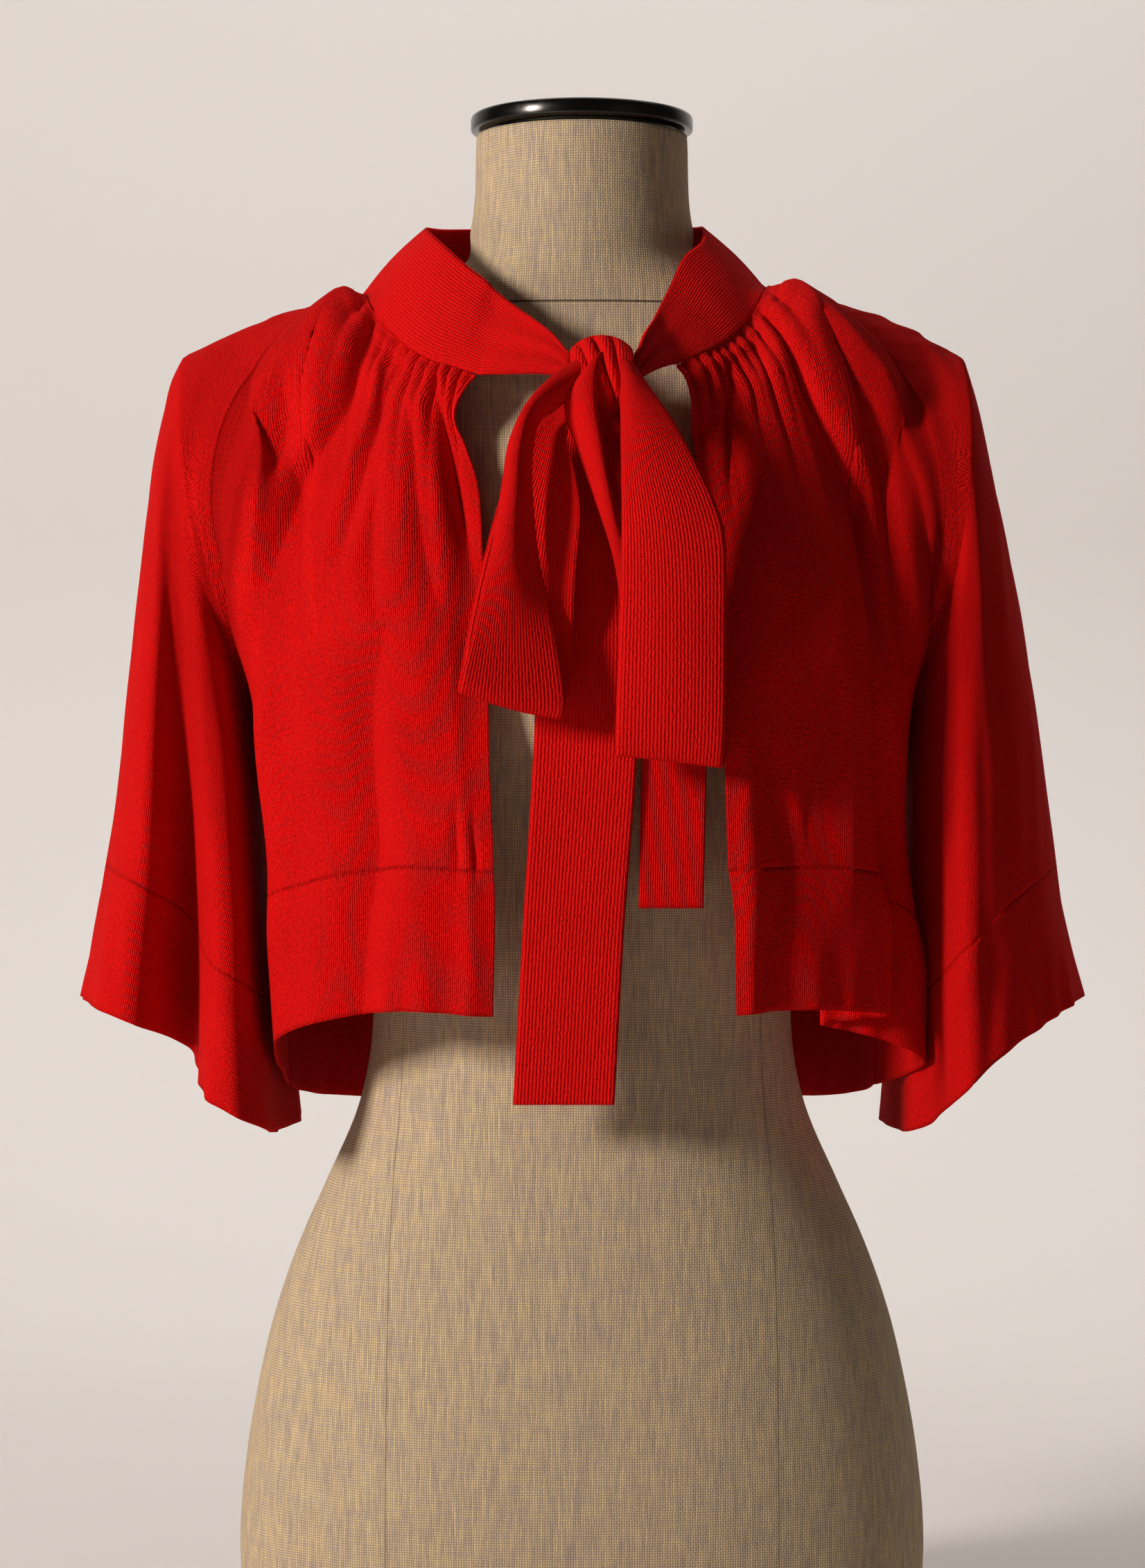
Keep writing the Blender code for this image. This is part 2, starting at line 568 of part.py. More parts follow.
def solid(name, vertices, faces, material):
    mesh = bpy.data.meshes.new(name)
    mesh.from_pydata([tuple(v * MM) for v in vertices], [], faces)
    mesh.validate()
    piece = bpy.data.objects.new(name, mesh)
    bpy.context.collection.objects.link(piece)
    mesh.materials.append(material)
    mesh.polygons.foreach_set("use_smooth", [True] * len(mesh.polygons))
    volume = 0.0
    for face in mesh.polygons:
        corners = [mesh.vertices[i].co for i in face.vertices]
        for i in range(1, len(corners) - 1):
            volume += corners[0].dot(corners[i].cross(corners[i + 1]))
    if volume < 0:
        mesh.flip_normals()
    mesh.update()
    return piece


def wall(name, points, normals, thickness, material, closed=False):
    """Closed wall of even thickness about a grid of points."""
    rows, columns = points.shape[:2]
    outer = points + normals * thickness / 2
    inner = points - normals * thickness / 2
    vertices = np.concatenate([outer.reshape(-1, 3), inner.reshape(-1, 3)])
    layer = rows * columns
    faces = []
    last = rows if closed else rows - 1
    for i in range(last):
        j = (i + 1) % rows
        for k in range(columns - 1):
            a, b, c, d = i * columns + k, j * columns + k, j * columns + k + 1, i * columns + k + 1
            faces.append((a, b, c, d))
            faces.append((a + layer, d + layer, c + layer, b + layer))
        first, second = i * columns, j * columns
        faces.append((first, first + layer, second + layer, second))
        first, second = first + columns - 1, second + columns - 1
        faces.append((first, second, second + layer, first + layer))
    if not closed:
        for k in range(columns - 1):
            faces.append((k, k + 1, k + 1 + layer, k + layer))
            end = (rows - 1) * columns + k
            faces.append((end, end + layer, end + 1 + layer, end + 1))
    return solid(name, vertices, faces, material)


def lofted(name, sections, material):
    """Closed solid through closed rings, with flat ends."""
    count = sections.shape[1]
    vertices = sections.reshape(-1, 3)
    faces = []
    for i in range(len(sections) - 1):
        for k in range(count):
            a, b = i * count + k, i * count + (k + 1) % count
            faces.append((a, b, b + count, a + count))
    faces.append(tuple(reversed(range(count))))
    top = (len(sections) - 1) * count
    faces.append(tuple(range(top, top + count)))
    return solid(name, vertices, faces, material)


linen = (0.52, 0.44, 0.31)
red = (0.62, 0.008, 0.012)

# dress form
heights = np.concatenate([
    np.linspace(0, 620, 13), [642, 660, 673, 684, 692, 699, 705, 711, 717, 725, 736, 760, FORM_TOP],
])
form_angles = np.linspace(0, 360, 31)[:-1]
form_rings = []
for height in heights:
    half, front, back, power = straight(FORM_SECTIONS, height)
    ring_x, ring_y = ring(half, front, back, power, form_angles)
    form_rings.append(np.stack([ring_x, ring_y, np.full(len(ring_x), height)], axis=-1))
lofted("form_body", np.array(form_rings), colour("linen", linen, 0.9, 0.0))

# neck cap with a groove under its rim
cap_rows = [
    (FORM_TOP + 0.3, 50.0), (FORM_TOP + 2.2, 50.0), (FORM_TOP + 2.8, CAP_RADIUS - 0.8),
    (FORM_TOP + 3.6, CAP_RADIUS), (CAP_TOP - 2.0, CAP_RADIUS), (CAP_TOP - 0.4, CAP_RADIUS - 1.4),
    (CAP_TOP, CAP_RADIUS - 4),
]
cap_turns = np.radians(np.linspace(0, 360, 33)[:-1])
cap_rings = []
for height, radius in cap_rows:
    cap_rings.append(np.stack([
        radius * np.sin(cap_turns), -radius * np.cos(cap_turns), np.full(len(cap_turns), height)
    ], axis=-1))
lofted("form_cap", np.array(cap_rings), colour("dark_metal", (0.05, 0.045, 0.04), 0.25, 1.0))

# places of the columns and rows of the cloth grids
seam_places = np.array([0.0, 0.06, 0.12, 0.18, 0.25, 0.33, 0.43, 0.53, 0.63, 0.74, 0.85, 0.93, 1.0])
neck_columns = np.linspace(0, NECK_SHARE, 37)
front_columns = np.concatenate([neck_columns, NECK_SHARE + (1 - NECK_SHARE) * seam_places[1:]])
panel_rows = np.array([0.0, 0.04, 0.08, 0.13, 0.19, 0.27, 0.37, 0.5, 0.66, 0.83, 1.0])
band_rows = np.array([1.0 + SEAM_GAP / BAND_DEPTH, 1.5, 2.0])
back_columns = np.concatenate([
    0.22 * (1 - seam_places[::-1]), np.linspace(0.22, 0.78, 39)[1:-1], 0.78 + 0.22 * seam_places,
])
sleeve_columns = np.concatenate([
    0.44 * (1 - seam_places[::-1]), [0.47, 0.50, 0.53], 0.56 + 0.44 * seam_places,
])
sleeve_rows = np.array([0.0, 0.08, 0.16, 0.24, 0.30, 0.35, 0.42, 0.52, 0.64, 0.76, 0.88, 1.0])
cuff_rows = np.array([1.0 + SEAM_GAP / CUFF_DEPTH, 1.5, 2.0])

grids = {}
for side in ("right", "left"):
    both = mirrored(front_points(side, front_columns, np.concatenate([panel_rows, band_rows])), side)
    grids["front_" + side] = both
    grids["sleeve_" + side] = mirrored(
        sleeve_points(side, sleeve_columns, np.concatenate([sleeve_rows, cuff_rows])), side
    )
grids["back"] = back_points(back_columns, np.concatenate([panel_rows, band_rows]))

normals = {}
for name, points in grids.items():
    found = grid_normals(points, False)
    outward = points - np.array([0, 0, 0])
    if name.startswith("sleeve"):
        outward = points - points.mean(axis=0, keepdims=True)
    if name.startswith("front"):
        outward = np.array([0, -1.0, 0])
    if name == "back":
        outward = np.array([0, 1.0, 0])
    normals[name] = found * np.sign((found * outward).sum())

# the rims along a seam share their normals
raglan = len(seam_places)
for side in ("right", "left"):
    front = normals["front_" + side]
    sleeve = normals["sleeve_" + side]
    back = normals["back"]
    shared = unit(front[-raglan:, 0] + sleeve[:raglan, 0][::-1])
    front[-raglan:, 0] = shared
    sleeve[:raglan, 0] = shared[::-1]
    if side == "right":
        shared = unit(back[:raglan, 0] + sleeve[-raglan:, 0][::-1])
        back[:raglan, 0] = shared
        sleeve[-raglan:, 0] = shared[::-1]
        shared = unit(front[-1] + back[0])
        back[0] = shared
    else:
        shared = unit(back[-raglan:, 0] + sleeve[-raglan:, 0])
        back[-raglan:, 0] = shared
        sleeve[-raglan:, 0] = shared
        shared = unit(front[-1] + back[-1])
        back[-1] = shared
    front[-1] = shared
    closing = unit(sleeve[0] + sleeve[-1])
    sleeve[0] = closing
    sleeve[-1] = closing

for name, points in grids.items():
    pull_back(points, normals[name], "top", SEAM_GAP / 2)
    if not name.startswith("sleeve"):
        pull_back(points, normals[name], "end", SEAM_GAP / 2)
    if name == "back":
        pull_back(points, normals[name], "start", SEAM_GAP / 2)

panel_count = len(panel_rows)
sleeve_count = len(sleeve_rows)
for side in ("right", "left"):
    points = grids["front_" + side]
    facing = normals["front_" + side]
    wall(
        "front_" + side, points[:, :panel_count], facing[:, :panel_count], CLOTH_WALL,
        colour("knit_front_" + side, red, 0.85, 0.0),
    )
    thin = np.concatenate([np.arange(0, 36, 3), np.arange(36, len(points), 1)])
    wall(
        "hem_band_" + side, points[thin][:, panel_count:], facing[thin][:, panel_count:], CLOTH_WALL,
        colour("knit_hem_" + side, red, 0.85, 0.0),
    )
    points = grids["sleeve_" + side]
    facing = normals["sleeve_" + side]
    wall(
        "sleeve_" + side, points[:-1, :sleeve_count], facing[:-1, :sleeve_count], CLOTH_WALL,
        colour("knit_sleeve_" + side, red, 0.85, 0.0), closed=True,
    )
    wall(
        "cuff_" + side, points[:-1, sleeve_count:], facing[:-1, sleeve_count:], CLOTH_WALL,
        colour("knit_cuff_" + side, red, 0.85, 0.0), closed=True,
    )
points = grids["back"]
facing = normals["back"]
wall("back", points[:, :panel_count], facing[:, :panel_count], CLOTH_WALL, colour("knit_back", red, 0.85, 0.0))
thin = np.concatenate([np.arange(0, 12), np.arange(12, 50, 2), np.arange(50, len(points))])
wall(
    "hem_band_back", points[thin][:, panel_count:], facing[thin][:, panel_count:], CLOTH_WALL,
    colour("knit_hem_back", red, 0.85, 0.0),
)


def collar_low(place):
    """Lower edge of the neck band, along the necklines and free at both ends."""
    parts = [
        (0.0, 0.06, lambda t: curve(COLLAR_LOW["right"], t)),
        (0.06, 0.30, lambda t: curve(NECK_FRONT["right"], t) * np.array([-1, 1, 1])),
        (0.30, 0.36, lambda t: raglan_loop("right", 0.44 + 0.12 * t) * np.array([-1, 1, 1])),
        (0.36, 0.64, lambda t: curve(NECK_BACK, t)),
        (0.64, 0.70, lambda t: raglan_loop("left", 0.56 - 0.12 * t)),
        (0.70, 0.94, lambda t: curve(NECK_FRONT["left"], 1 - t)),
        (0.94, 1.0, lambda t: curve(COLLAR_LOW["left"], t)),
    ]
    result = np.zeros((len(place), 3))
    for start, end, reading in parts:
        chosen = (place >= start - 1e-9) & (place <= end + 1e-9)
        result[chosen] = reading((place[chosen] - start) / (end - start))
    return result


# neck band
collar_places = np.concatenate([
    np.linspace(0, 0.06, 5), np.linspace(0.06, 0.30, 15)[1:], np.linspace(0.30, 0.36, 4)[1:],
    np.linspace(0.36, 0.64, 15)[1:], np.linspace(0.64, 0.70, 4)[1:], np.linspace(0.70, 0.94, 15)[1:],
    np.linspace(0.94, 1.0, 5)[1:],
])
low = collar_low(collar_places)
high = curve(COLLAR_TOP, collar_places)
low = low + unit(high - low) * (SEAM_GAP + 0.5)
shares = np.array([0.0, 0.33, 0.67, 1.0])
collar = low[:, None] + (high - low)[:, None] * shares[None, :, None]
collar_normals = grid_normals(collar, False)
middle = np.array([-5.0, 0, 700])
collar_normals = collar_normals * np.sign((collar_normals * (collar - middle)).sum())
belly = 2.2 * np.sin(math.pi * shares)[None, :, None] * np.sin(math.pi * collar_places)[:, None, None]
collar = keep_clear(collar + collar_normals * belly, BAND_WALL / 2 + REST_GAP)
wall("collar", collar, collar_normals, BAND_WALL, colour("rib_collar", red, 0.85, 0.0))


def strip(name, rows, count, across, cup, material):
    """Band of cloth between two edges."""
    edges = curve(rows, np.linspace(0, 1, count))
    share = np.linspace(0, 1, across)
    points = edges[:, None, :3] + (edges[:, None, 3:] - edges[:, None, :3]) * share[None, :, None]
    facing = grid_normals(points, False)
    points = points + facing * (cup * np.sin(math.pi * share))[None, :, None]
    wall(name, points, facing, CLOTH_WALL, material)


strip("bow_loop_right", LOOP_RIGHT, 30, 5, 0.0, colour("rib_loop_right", red, 0.85, 0.0))
strip("bow_loop_left", LOOP_LEFT, 30, 5, 0.0, colour("rib_loop_left", red, 0.85, 0.0))
strip("tie_end_long", TIE_LONG, 14, 5, 0.0, colour("rib_end_long", red, 0.85, 0.0))
strip("tie_end_short", TIE_SHORT, 10, 5, 0.0, colour("rib_end_short", red, 0.85, 0.0))

# wrap of the bow, open at both sides
knot_turns = np.radians(np.linspace(0, 360, 25)[:-1])
knot = []
for turn in knot_turns:
    line = []
    for x, tall, deep, middle_y, middle_z in KNOT_SECTIONS:
        crease = 1 + 0.035 * math.cos(3 * turn + 0.12 * x)
        line.append((x, middle_y - deep * crease * math.sin(turn), middle_z + tall * crease * math.cos(turn)))
    knot.append(line)
knot = np.array(knot)
knot_normals = grid_normals(knot, True)
knot_middle = knot.mean(axis=0, keepdims=True)
knot_normals = knot_normals * np.sign((knot_normals * (knot - knot_middle)).sum())
wall("bow_knot", knot, knot_normals, BAND_WALL, colour("rib_knot", red, 0.85, 0.0), closed=True)
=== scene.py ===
import functools
import math

import bmesh
import bpy
import numpy as np
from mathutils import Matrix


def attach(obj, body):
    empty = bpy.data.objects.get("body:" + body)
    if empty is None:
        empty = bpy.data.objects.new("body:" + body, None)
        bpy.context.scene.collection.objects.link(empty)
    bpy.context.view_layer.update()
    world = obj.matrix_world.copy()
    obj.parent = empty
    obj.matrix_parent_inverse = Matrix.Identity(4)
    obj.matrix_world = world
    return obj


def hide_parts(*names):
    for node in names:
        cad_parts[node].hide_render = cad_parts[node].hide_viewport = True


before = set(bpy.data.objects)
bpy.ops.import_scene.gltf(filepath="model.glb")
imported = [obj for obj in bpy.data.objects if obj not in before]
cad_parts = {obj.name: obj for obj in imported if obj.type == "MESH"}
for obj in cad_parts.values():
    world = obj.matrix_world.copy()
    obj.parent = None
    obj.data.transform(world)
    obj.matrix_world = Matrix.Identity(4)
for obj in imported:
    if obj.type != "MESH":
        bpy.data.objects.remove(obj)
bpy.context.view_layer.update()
print("stage: frame loaded")

# All tables are in millimetres, with the front towards -Y and the wearer's right at -X.
mm = 0.001
clothWall = 1.2
clothClear = 2.1  # least distance from the form to the middle of the knit
bandDepth = 70.0
cuffDepth = 68.0
bandWidth = 52.0
neckShare = 0.55  # share of a front's top edge that is gathered into the neck band
raglanShare = 0.22  # share of the back's top edge along each raglan seam
loopFront, loopBack = 0.44, 0.56  # where a sleeve's top leaves the front seam and meets the back seam


def curve(rows, place):
    # a smooth curve through a table whose first column is the position
    rows = np.asarray(rows, float)
    place = np.asarray(place, float)
    knots = rows[:, 0]
    values = rows[:, 1:]
    slopes = np.gradient(values, knots, axis=0)
    spot = np.clip(place, knots[0], knots[-1])
    index = np.clip(np.searchsorted(knots, spot, side="right") - 1, 0, len(knots) - 2)
    span = (knots[index + 1] - knots[index])[..., None]
    t = (spot[..., None] - knots[index][..., None]) / span
    first = (2 * t**3 - 3 * t**2 + 1) * values[index] + (t**3 - 2 * t**2 + t) * span * slopes[index]
    second = (3 * t**2 - 2 * t**3) * values[index + 1] + (t**3 - t**2) * span * slopes[index + 1]
    return first + second


def smoothStep(t):
    t = np.clip(t, 0, 1)
    return t * t * (3 - 2 * t)


def unit(vectors):
    return vectors / np.maximum(np.linalg.norm(vectors, axis=-1, keepdims=True), 1e-9)


def ring(size, angle):
    # x and y on a superellipse of half width, front, back and power, with the angle in degrees from the front
    halfWidth, front, back, power = np.moveaxis(size, -1, 0)
    radians = np.radians(angle)
    side = np.sin(radians)
    ahead = np.cos(radians)
    depth = np.where(ahead >= 0, front, back)
    x = halfWidth * np.sign(side) * np.abs(side) ** (2 / power)
    y = -depth * np.sign(ahead) * np.abs(ahead) ** (2 / power)
    return x, y


# materials
# the knit's red, and shade: the share of that red left in the painted shade of its grooves
knit = {
    "red": (0.84, 0.0066, 0.0060), "shade": 0.40, "wale": 1.0, "stitch": 0.8, "stitchHeight": 0.35,
    "drift": 4.5, "middle": 0.62, "contrast": 0.13, "grain": 7.5, "patches": 0.3,
    "bump": 0.8, "bumpDepth": 0.00022, "markTone": 0.30, "markDepth": 4.5, "roughness": 0.9, "sheen": 0.02,
}
rib = dict(knit, shade=0.45, wale=1.75, contrast=0.19, grain=2.6, bump=0.9, roughness=0.88)
linen = {
    "yellow": (0.68, 0.49, 0.26), "grey": (0.57, 0.42, 0.32), "pitch": 1.25, "slub": 60, "bump": 0.6,
    "bumpDepth": 0.0003, "wobble": 0.9, "neckSeam": 0.704, "sideSeam": 0.098, "seamWidth": 0.00055,
}
metal = {"colour": (0.055, 0.05, 0.045), "roughness": 0.16}
# scale and detail of the knit's noises: uneven yarn, grain and broad patches
knitNoises = [(420, 3), (620, 2), (28, 4)]
# stitches beside a seam: distance from it, half width and spacing, in metres
stitchMarks = [(0.0007, 0.0006, 0.0030), (0.0062, 0.0007, 0.0036), (0.0105, 0.0006, 0.0036)]


def setInputs(node, inputs):
    # each input is set to a value or linked to another node's output
    for key, value in inputs.items():
        if isinstance(value, bpy.types.NodeSocket):
            node.id_data.links.new(value, node.inputs[key])
        else:
            node.inputs[key].default_value = value


def addNode(nodes, kind, inputs, **settings):
    node = nodes.new("ShaderNode" + kind)
    for key, value in settings.items():
        setattr(node, key, value)
    setInputs(node, inputs)
    return node.outputs[0]


def addMath(nodes, operation, *values):
    return addNode(nodes, "Math", dict(enumerate(values)), operation=operation)


def addRamp(add, value, low, high, start=0.0, end=1.0):
    ramp = add("ValToRGB", {0: value})
    stops = ramp.node.color_ramp.elements
    for stop, colour, position in ((stops[0], low, start), (stops[1], high, end)):
        stop.position = position
        stop.color = (*colour, 1)
    return ramp


def newMaterial(name):
    # the material, helpers that add a node or a sum to it, and its shader
    material = bpy.data.materials.new(name)
    material.use_nodes = True
    nodes = material.node_tree.nodes
    add = functools.partial(addNode, nodes)
    calc = functools.partial(addMath, nodes)
    return material, add, calc, nodes["Principled BSDF"]


def clothMaterial(name, look, lengthwise=True):
    # fine knit: wales that run along the cloth, small stitches in them and an uneven yarn, with painted shade
    # in the grooves between the wales and the stitches
    material, add, calc, shader = newMaterial(name)
    place = add("UVMap", {}, uv_map="cloth")
    across, along = add("SeparateXYZ", {0: place}).node.outputs[:2]
    if not lengthwise:
        across, along = along, across
    yarn, grain, patches = [
        add("TexNoise", {"Vector": place, "Scale": scale, "Detail": detail}) for scale, detail in knitNoises
    ]
    drift = calc("MULTIPLY", yarn, look["drift"])
    wale = calc("SINE", calc("MULTIPLY_ADD", across, 2 * math.pi / (look["wale"] * mm), drift))
    stitchTurns = 2 * math.pi / (look["wale"] * look["stitch"] * mm)
    stitch = calc("SINE", calc("MULTIPLY_ADD", along, stitchTurns, drift))
    height = calc("MULTIPLY_ADD", stitch, look["stitchHeight"], wale)
    height = calc("MULTIPLY_ADD", grain, look["grain"], height)
    tone = calc("MULTIPLY_ADD", patches, look["patches"], -look["patches"] / 2)
    # painted shade: the colour is darker where the wales and stitches lie low, and it varies with the yarn's
    # grain; the patches above are the yarn's own uneven tone
    tone = calc("MULTIPLY_ADD", height, look["contrast"], tone)
    tone = calc("ADD", tone, look["middle"] - look["contrast"] * look["grain"] * 0.5)
    seamAlong, seamAway = add("SeparateXYZ", {0: add("UVMap", {}, uv_map="seam")}).node.outputs[:2]
    for spot, width, period in stitchMarks:
        near = calc("LESS_THAN", calc("ABSOLUTE", calc("SUBTRACT", seamAway, spot)), width)
        dash = calc("SINE", calc("MULTIPLY", seamAlong, 2 * math.pi / period))
        mark = calc("MULTIPLY", near, calc("GREATER_THAN", dash, 0.0))
        tone = calc("MULTIPLY_ADD", mark, -look["markTone"], tone)
        height = calc("MULTIPLY_ADD", mark, -look["markDepth"], height)
    # the darkest colour, that of the painted shade in the grooves
    grooveShade = [c * look["shade"] for c in look["red"]]
    setInputs(shader, {
        "Base Color": addRamp(add, tone, grooveShade, look["red"]),
        "Normal": add("Bump", {"Strength": look["bump"], "Distance": look["bumpDepth"], "Height": height}),
        "Roughness": look["roughness"], "Specular IOR Level": 0.04,
        "Sheen Weight": look["sheen"], "Sheen Roughness": 0.4, "Sheen Tint": (1.0, 0.06, 0.04, 1),
    })
    return material


def linenMaterial(name, look):
    # plain weave: threads of uneven colour over and under each other, with slubs and stitched seams
    material, add, calc, shader = newMaterial(name)
    place = add("UVMap", {}, uv_map="cloth")
    level, up = add("SeparateXYZ", {0: place}).node.outputs[:2]
    drift = calc("MULTIPLY", add("TexNoise", {"Vector": place, "Scale": 120, "Detail": 3}), look["wobble"])
    numbers, slubs, bulges = [], [], []
    for reading, other, seed in ((level, up, 0.0), (up, level, 57.3)):
        thread = calc("MULTIPLY_ADD", reading, 1 / (look["pitch"] * mm), drift)
        number = calc("FLOOR", thread)
        shift = calc("MULTIPLY_ADD", number, 3.71, seed)
        spot = add("CombineXYZ", {0: shift, 1: calc("MULTIPLY", other, look["slub"])})
        numbers.append(number)
        slubs.append(add("TexNoise", {"Vector": spot, "Scale": 1, "Detail": 2}, noise_dimensions="2D"))
        bulges.append(calc("SINE", calc("MULTIPLY", calc("FRACT", thread), math.pi)))
    over = calc("ABSOLUTE", calc("MODULO", calc("ADD", *numbers), 2.0))

    def chosen(first, second):
        # the first thread lies on top where over is 1
        return calc("MULTIPLY_ADD", calc("SUBTRACT", first, second), over, second)

    # height and light from the thread on top, with more and less coloured threads
    low = chosen(bulges[1], bulges[0])
    height = calc("MULTIPLY", chosen(*bulges), calc("MULTIPLY_ADD", low, 0.45, 0.55))
    hue = addRamp(add, chosen(*slubs), look["grey"], look["yellow"], 0.34, 0.66)
    shade = calc("MULTIPLY_ADD", height, 0.75, 0.38)
    shade = calc("MULTIPLY", shade, calc("MULTIPLY_ADD", slubs[0], 0.6, 0.72))
    # stitched seams: one round the neck and one down each side of the front
    neck = calc("SUBTRACT", up, look["neckSeam"])
    side = calc("SUBTRACT", calc("ABSOLUTE", level), look["sideSeam"])
    for away, strength in ((neck, 0.75), (side, 0.30)):
        near = calc("LESS_THAN", calc("ABSOLUTE", away), look["seamWidth"])
        shade = calc("MULTIPLY", shade, calc("MULTIPLY_ADD", near, -strength, 1.0))
        height = calc("MULTIPLY_ADD", near, -1.2, height)
    setInputs(shader, {
        "Base Color": add("VectorMath", {0: hue, "Scale": shade}, operation="SCALE"),
        "Normal": add("Bump", {"Strength": look["bump"], "Distance": look["bumpDepth"], "Height": height}),
        "Roughness": 0.88, "Specular IOR Level": 0.2,
    })
    return material


def metalMaterial(name, look):
    material, add, calc, shader = newMaterial(name)
    place = add("TexCoord", {}).node.outputs["Object"]
    brushed = add("TexNoise", {"Vector": place, "Scale": 350})
    setInputs(shader, {
        "Base Color": (*look["colour"], 1), "Metallic": 1,
        "Roughness": calc("MULTIPLY_ADD", brushed, 0.12, look["roughness"]),
    })
    return material


knitCloth = clothMaterial("redKnit", knit)
ribAcross = clothMaterial("redRib", rib, lengthwise=False)
formCloth = linenMaterial("formLinen", linen)
capMetal = metalMaterial("capMetal", metal)
print("stage: materials")


# grids of points to pieces
def lengthsAlong(points, axis=0):
    # distance from the first point, along a line or along one axis of a grid
    steps = np.linalg.norm(np.diff(points, axis=axis), axis=-1)
    run = np.cumsum(steps, axis=axis)
    return np.concatenate([np.zeros_like(np.take(run, [0], axis=axis)), run], axis=axis)


def gridMesh(points, maps, closed):
    # a bmesh grid moved to the points, with a UV map for each pair of readings
    across, down = points.shape[:2]
    bm = bmesh.new()
    bmesh.ops.create_grid(bm, x_segments=across - 1, y_segments=down - 1, size=0.5)
    bm.verts.index_update()
    flat = np.array([v.co[:2] for v in bm.verts]) + 0.5
    first = np.rint(flat[:, 0] * (across - 1)).astype(int)
    second = np.rint(flat[:, 1] * (down - 1)).astype(int)
    layers = [bm.loops.layers.uv.new(name) for name in maps]
    readings = []
    for pair in maps.values():
        columns = [np.broadcast_to(reading, (across, down))[first, second] for reading in pair]
        readings.append(np.column_stack(columns).tolist())
    for face in bm.faces:
        face.smooth = True
        for loop in face.loops:
            for layer, rows in zip(layers, readings):
                loop[layer].uv = rows[loop.vert.index]
    for vertex, place in zip(bm.verts, points[first, second] * mm):
        vertex.co = place
    if closed:
        ends = [v for v, i in zip(bm.verts, first) if i in (0, across - 1)]
        bmesh.ops.remove_doubles(bm, verts=ends, dist=0.00002)
    return bm


def makeObject(name, bm, material):
    mesh = bpy.data.meshes.new(name)
    bm.to_mesh(mesh)
    bm.free()
    mesh.materials.append(material)
    made = bpy.data.objects.new(name, mesh)
    bpy.context.collection.objects.link(made)
    return made


def dress(piece, node):
    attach(piece, "root")
    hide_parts(node)


def gridPiece(name, points, u, v, material, closed=False, thickness=clothWall, seam=None):
    # a cloth wall; without a seam of its own it has no stitch marks
    bm = gridMesh(points, {"cloth": (u, v), "seam": seam or (u, 1.0)}, closed)
    piece = makeObject(name, bm, material)
    solid = piece.modifiers.new("wall", "SOLIDIFY")
    solid.thickness = thickness * mm
    solid.offset = 0
    solid.use_even_offset = False
    return piece


def normalsOf(points):
    return unit(np.cross(np.gradient(points, axis=0), np.gradient(points, axis=1)))


def seamNormals(points, drop):
    # outward or inward normals, the same for the two rows that meet at the band's seam
    normals = normalsOf(points)
    row = int(np.searchsorted(drop, 1.0))
    normals[:, row] = normals[:, row + 1] = unit(normals[:, row] + normals[:, row + 1])
    return normals


def seamPlaces(points, sewn=True):
    # distances along the top seam and away from it, far away where the top isn't a plain seam
    away = np.where(np.reshape(sewn, (-1, 1)), lengthsAlong(points, 1), 1000)
    return lengthsAlong(points[:, 0])[:, None] * mm, away * mm


def hemStitches(points):
    # only the seam itself, without the marks beside it
    along, away = seamPlaces(points)
    return along, np.where(away > 0.004, 1.0, away)


def columnLengths(points):
    # distance down each column, measured from its low end
    run = lengthsAlong(points, 1)
    return run - run[:, -1:]


def dropRows(look, power=1.0):
    # rows of the panel from 0 to 1, then those of the band from 1 to 2
    panel = np.linspace(0, 1, look["down"] + 1) ** power
    return np.concatenate([panel, np.linspace(1, 2, look["band"] + 1)])


def panelAndBand(nodes, look, points, readings, measured, sewn=True, closed=False):
    # two pieces on one surface: the panel above the linked seam and the band below it
    count = look["down"] + 1
    made = []
    for node, rows in zip(nodes, (slice(0, count), slice(count, None))):
        u, v = [reading[:, rows] for reading in readings]
        edge = hemStitches(measured[:, rows]) if made else seamPlaces(measured[:, rows], sewn)
        name = node.replace("_band", "") + "_cloth"
        piece = gridPiece(name, points[:, rows], u, v, knitCloth, closed=closed, seam=edge)
        dress(piece, node)
        made.append(piece)
    return made


# dress form
form = {
    "around": 160, "rows": [(0, 620, 90), (620, 735, 70), (735, 795, 24)],  # more rows where it turns
    "top": 795.0, "capRadius": 57.0, "capTop": 806.0, "capSteps": 128,
}
# height, half width, depth to the front, depth to the back and power of the superellipse
formSections = [
    (0, 169, 92, 112, 2.2), (40, 173, 94, 115, 2.2), (80, 175, 96, 117, 2.2), (118, 172, 97, 118, 2.2),
    (155, 166, 96, 118, 2.2), (197, 156, 93, 114, 2.2), (232, 143.5, 90, 106, 2.2), (260, 131, 87, 98, 2.2),
    (300, 114, 83, 86, 2.2), (345, 107, 82, 78, 2.2), (380, 110, 86, 80, 2.2), (420, 120, 95, 86, 2.2),
    (460, 133, 106, 91, 2.2), (495, 141, 112, 94, 2.2), (530, 147, 110, 96, 2.2), (560, 154, 105, 97, 2.2),
    (600, 167, 97, 97, 2.2), (640, 180, 86, 92, 2.2), (660, 186, 78, 86, 2.2), (674, 186, 70, 80, 2.1),
    (684, 179, 65, 75, 1.95), (692, 166, 61, 71, 1.9), (700, 145, 58, 68, 1.9), (706, 123, 57, 65, 1.9),
    (712, 98, 56, 62, 1.95), (718, 79, 56, 60, 2.0), (727, 63, 55, 58, 2.0), (748, 57, 54, 56, 2.0),
    (795, 54, 54, 54, 2.0),
]
formRows = np.array(formSections, float)


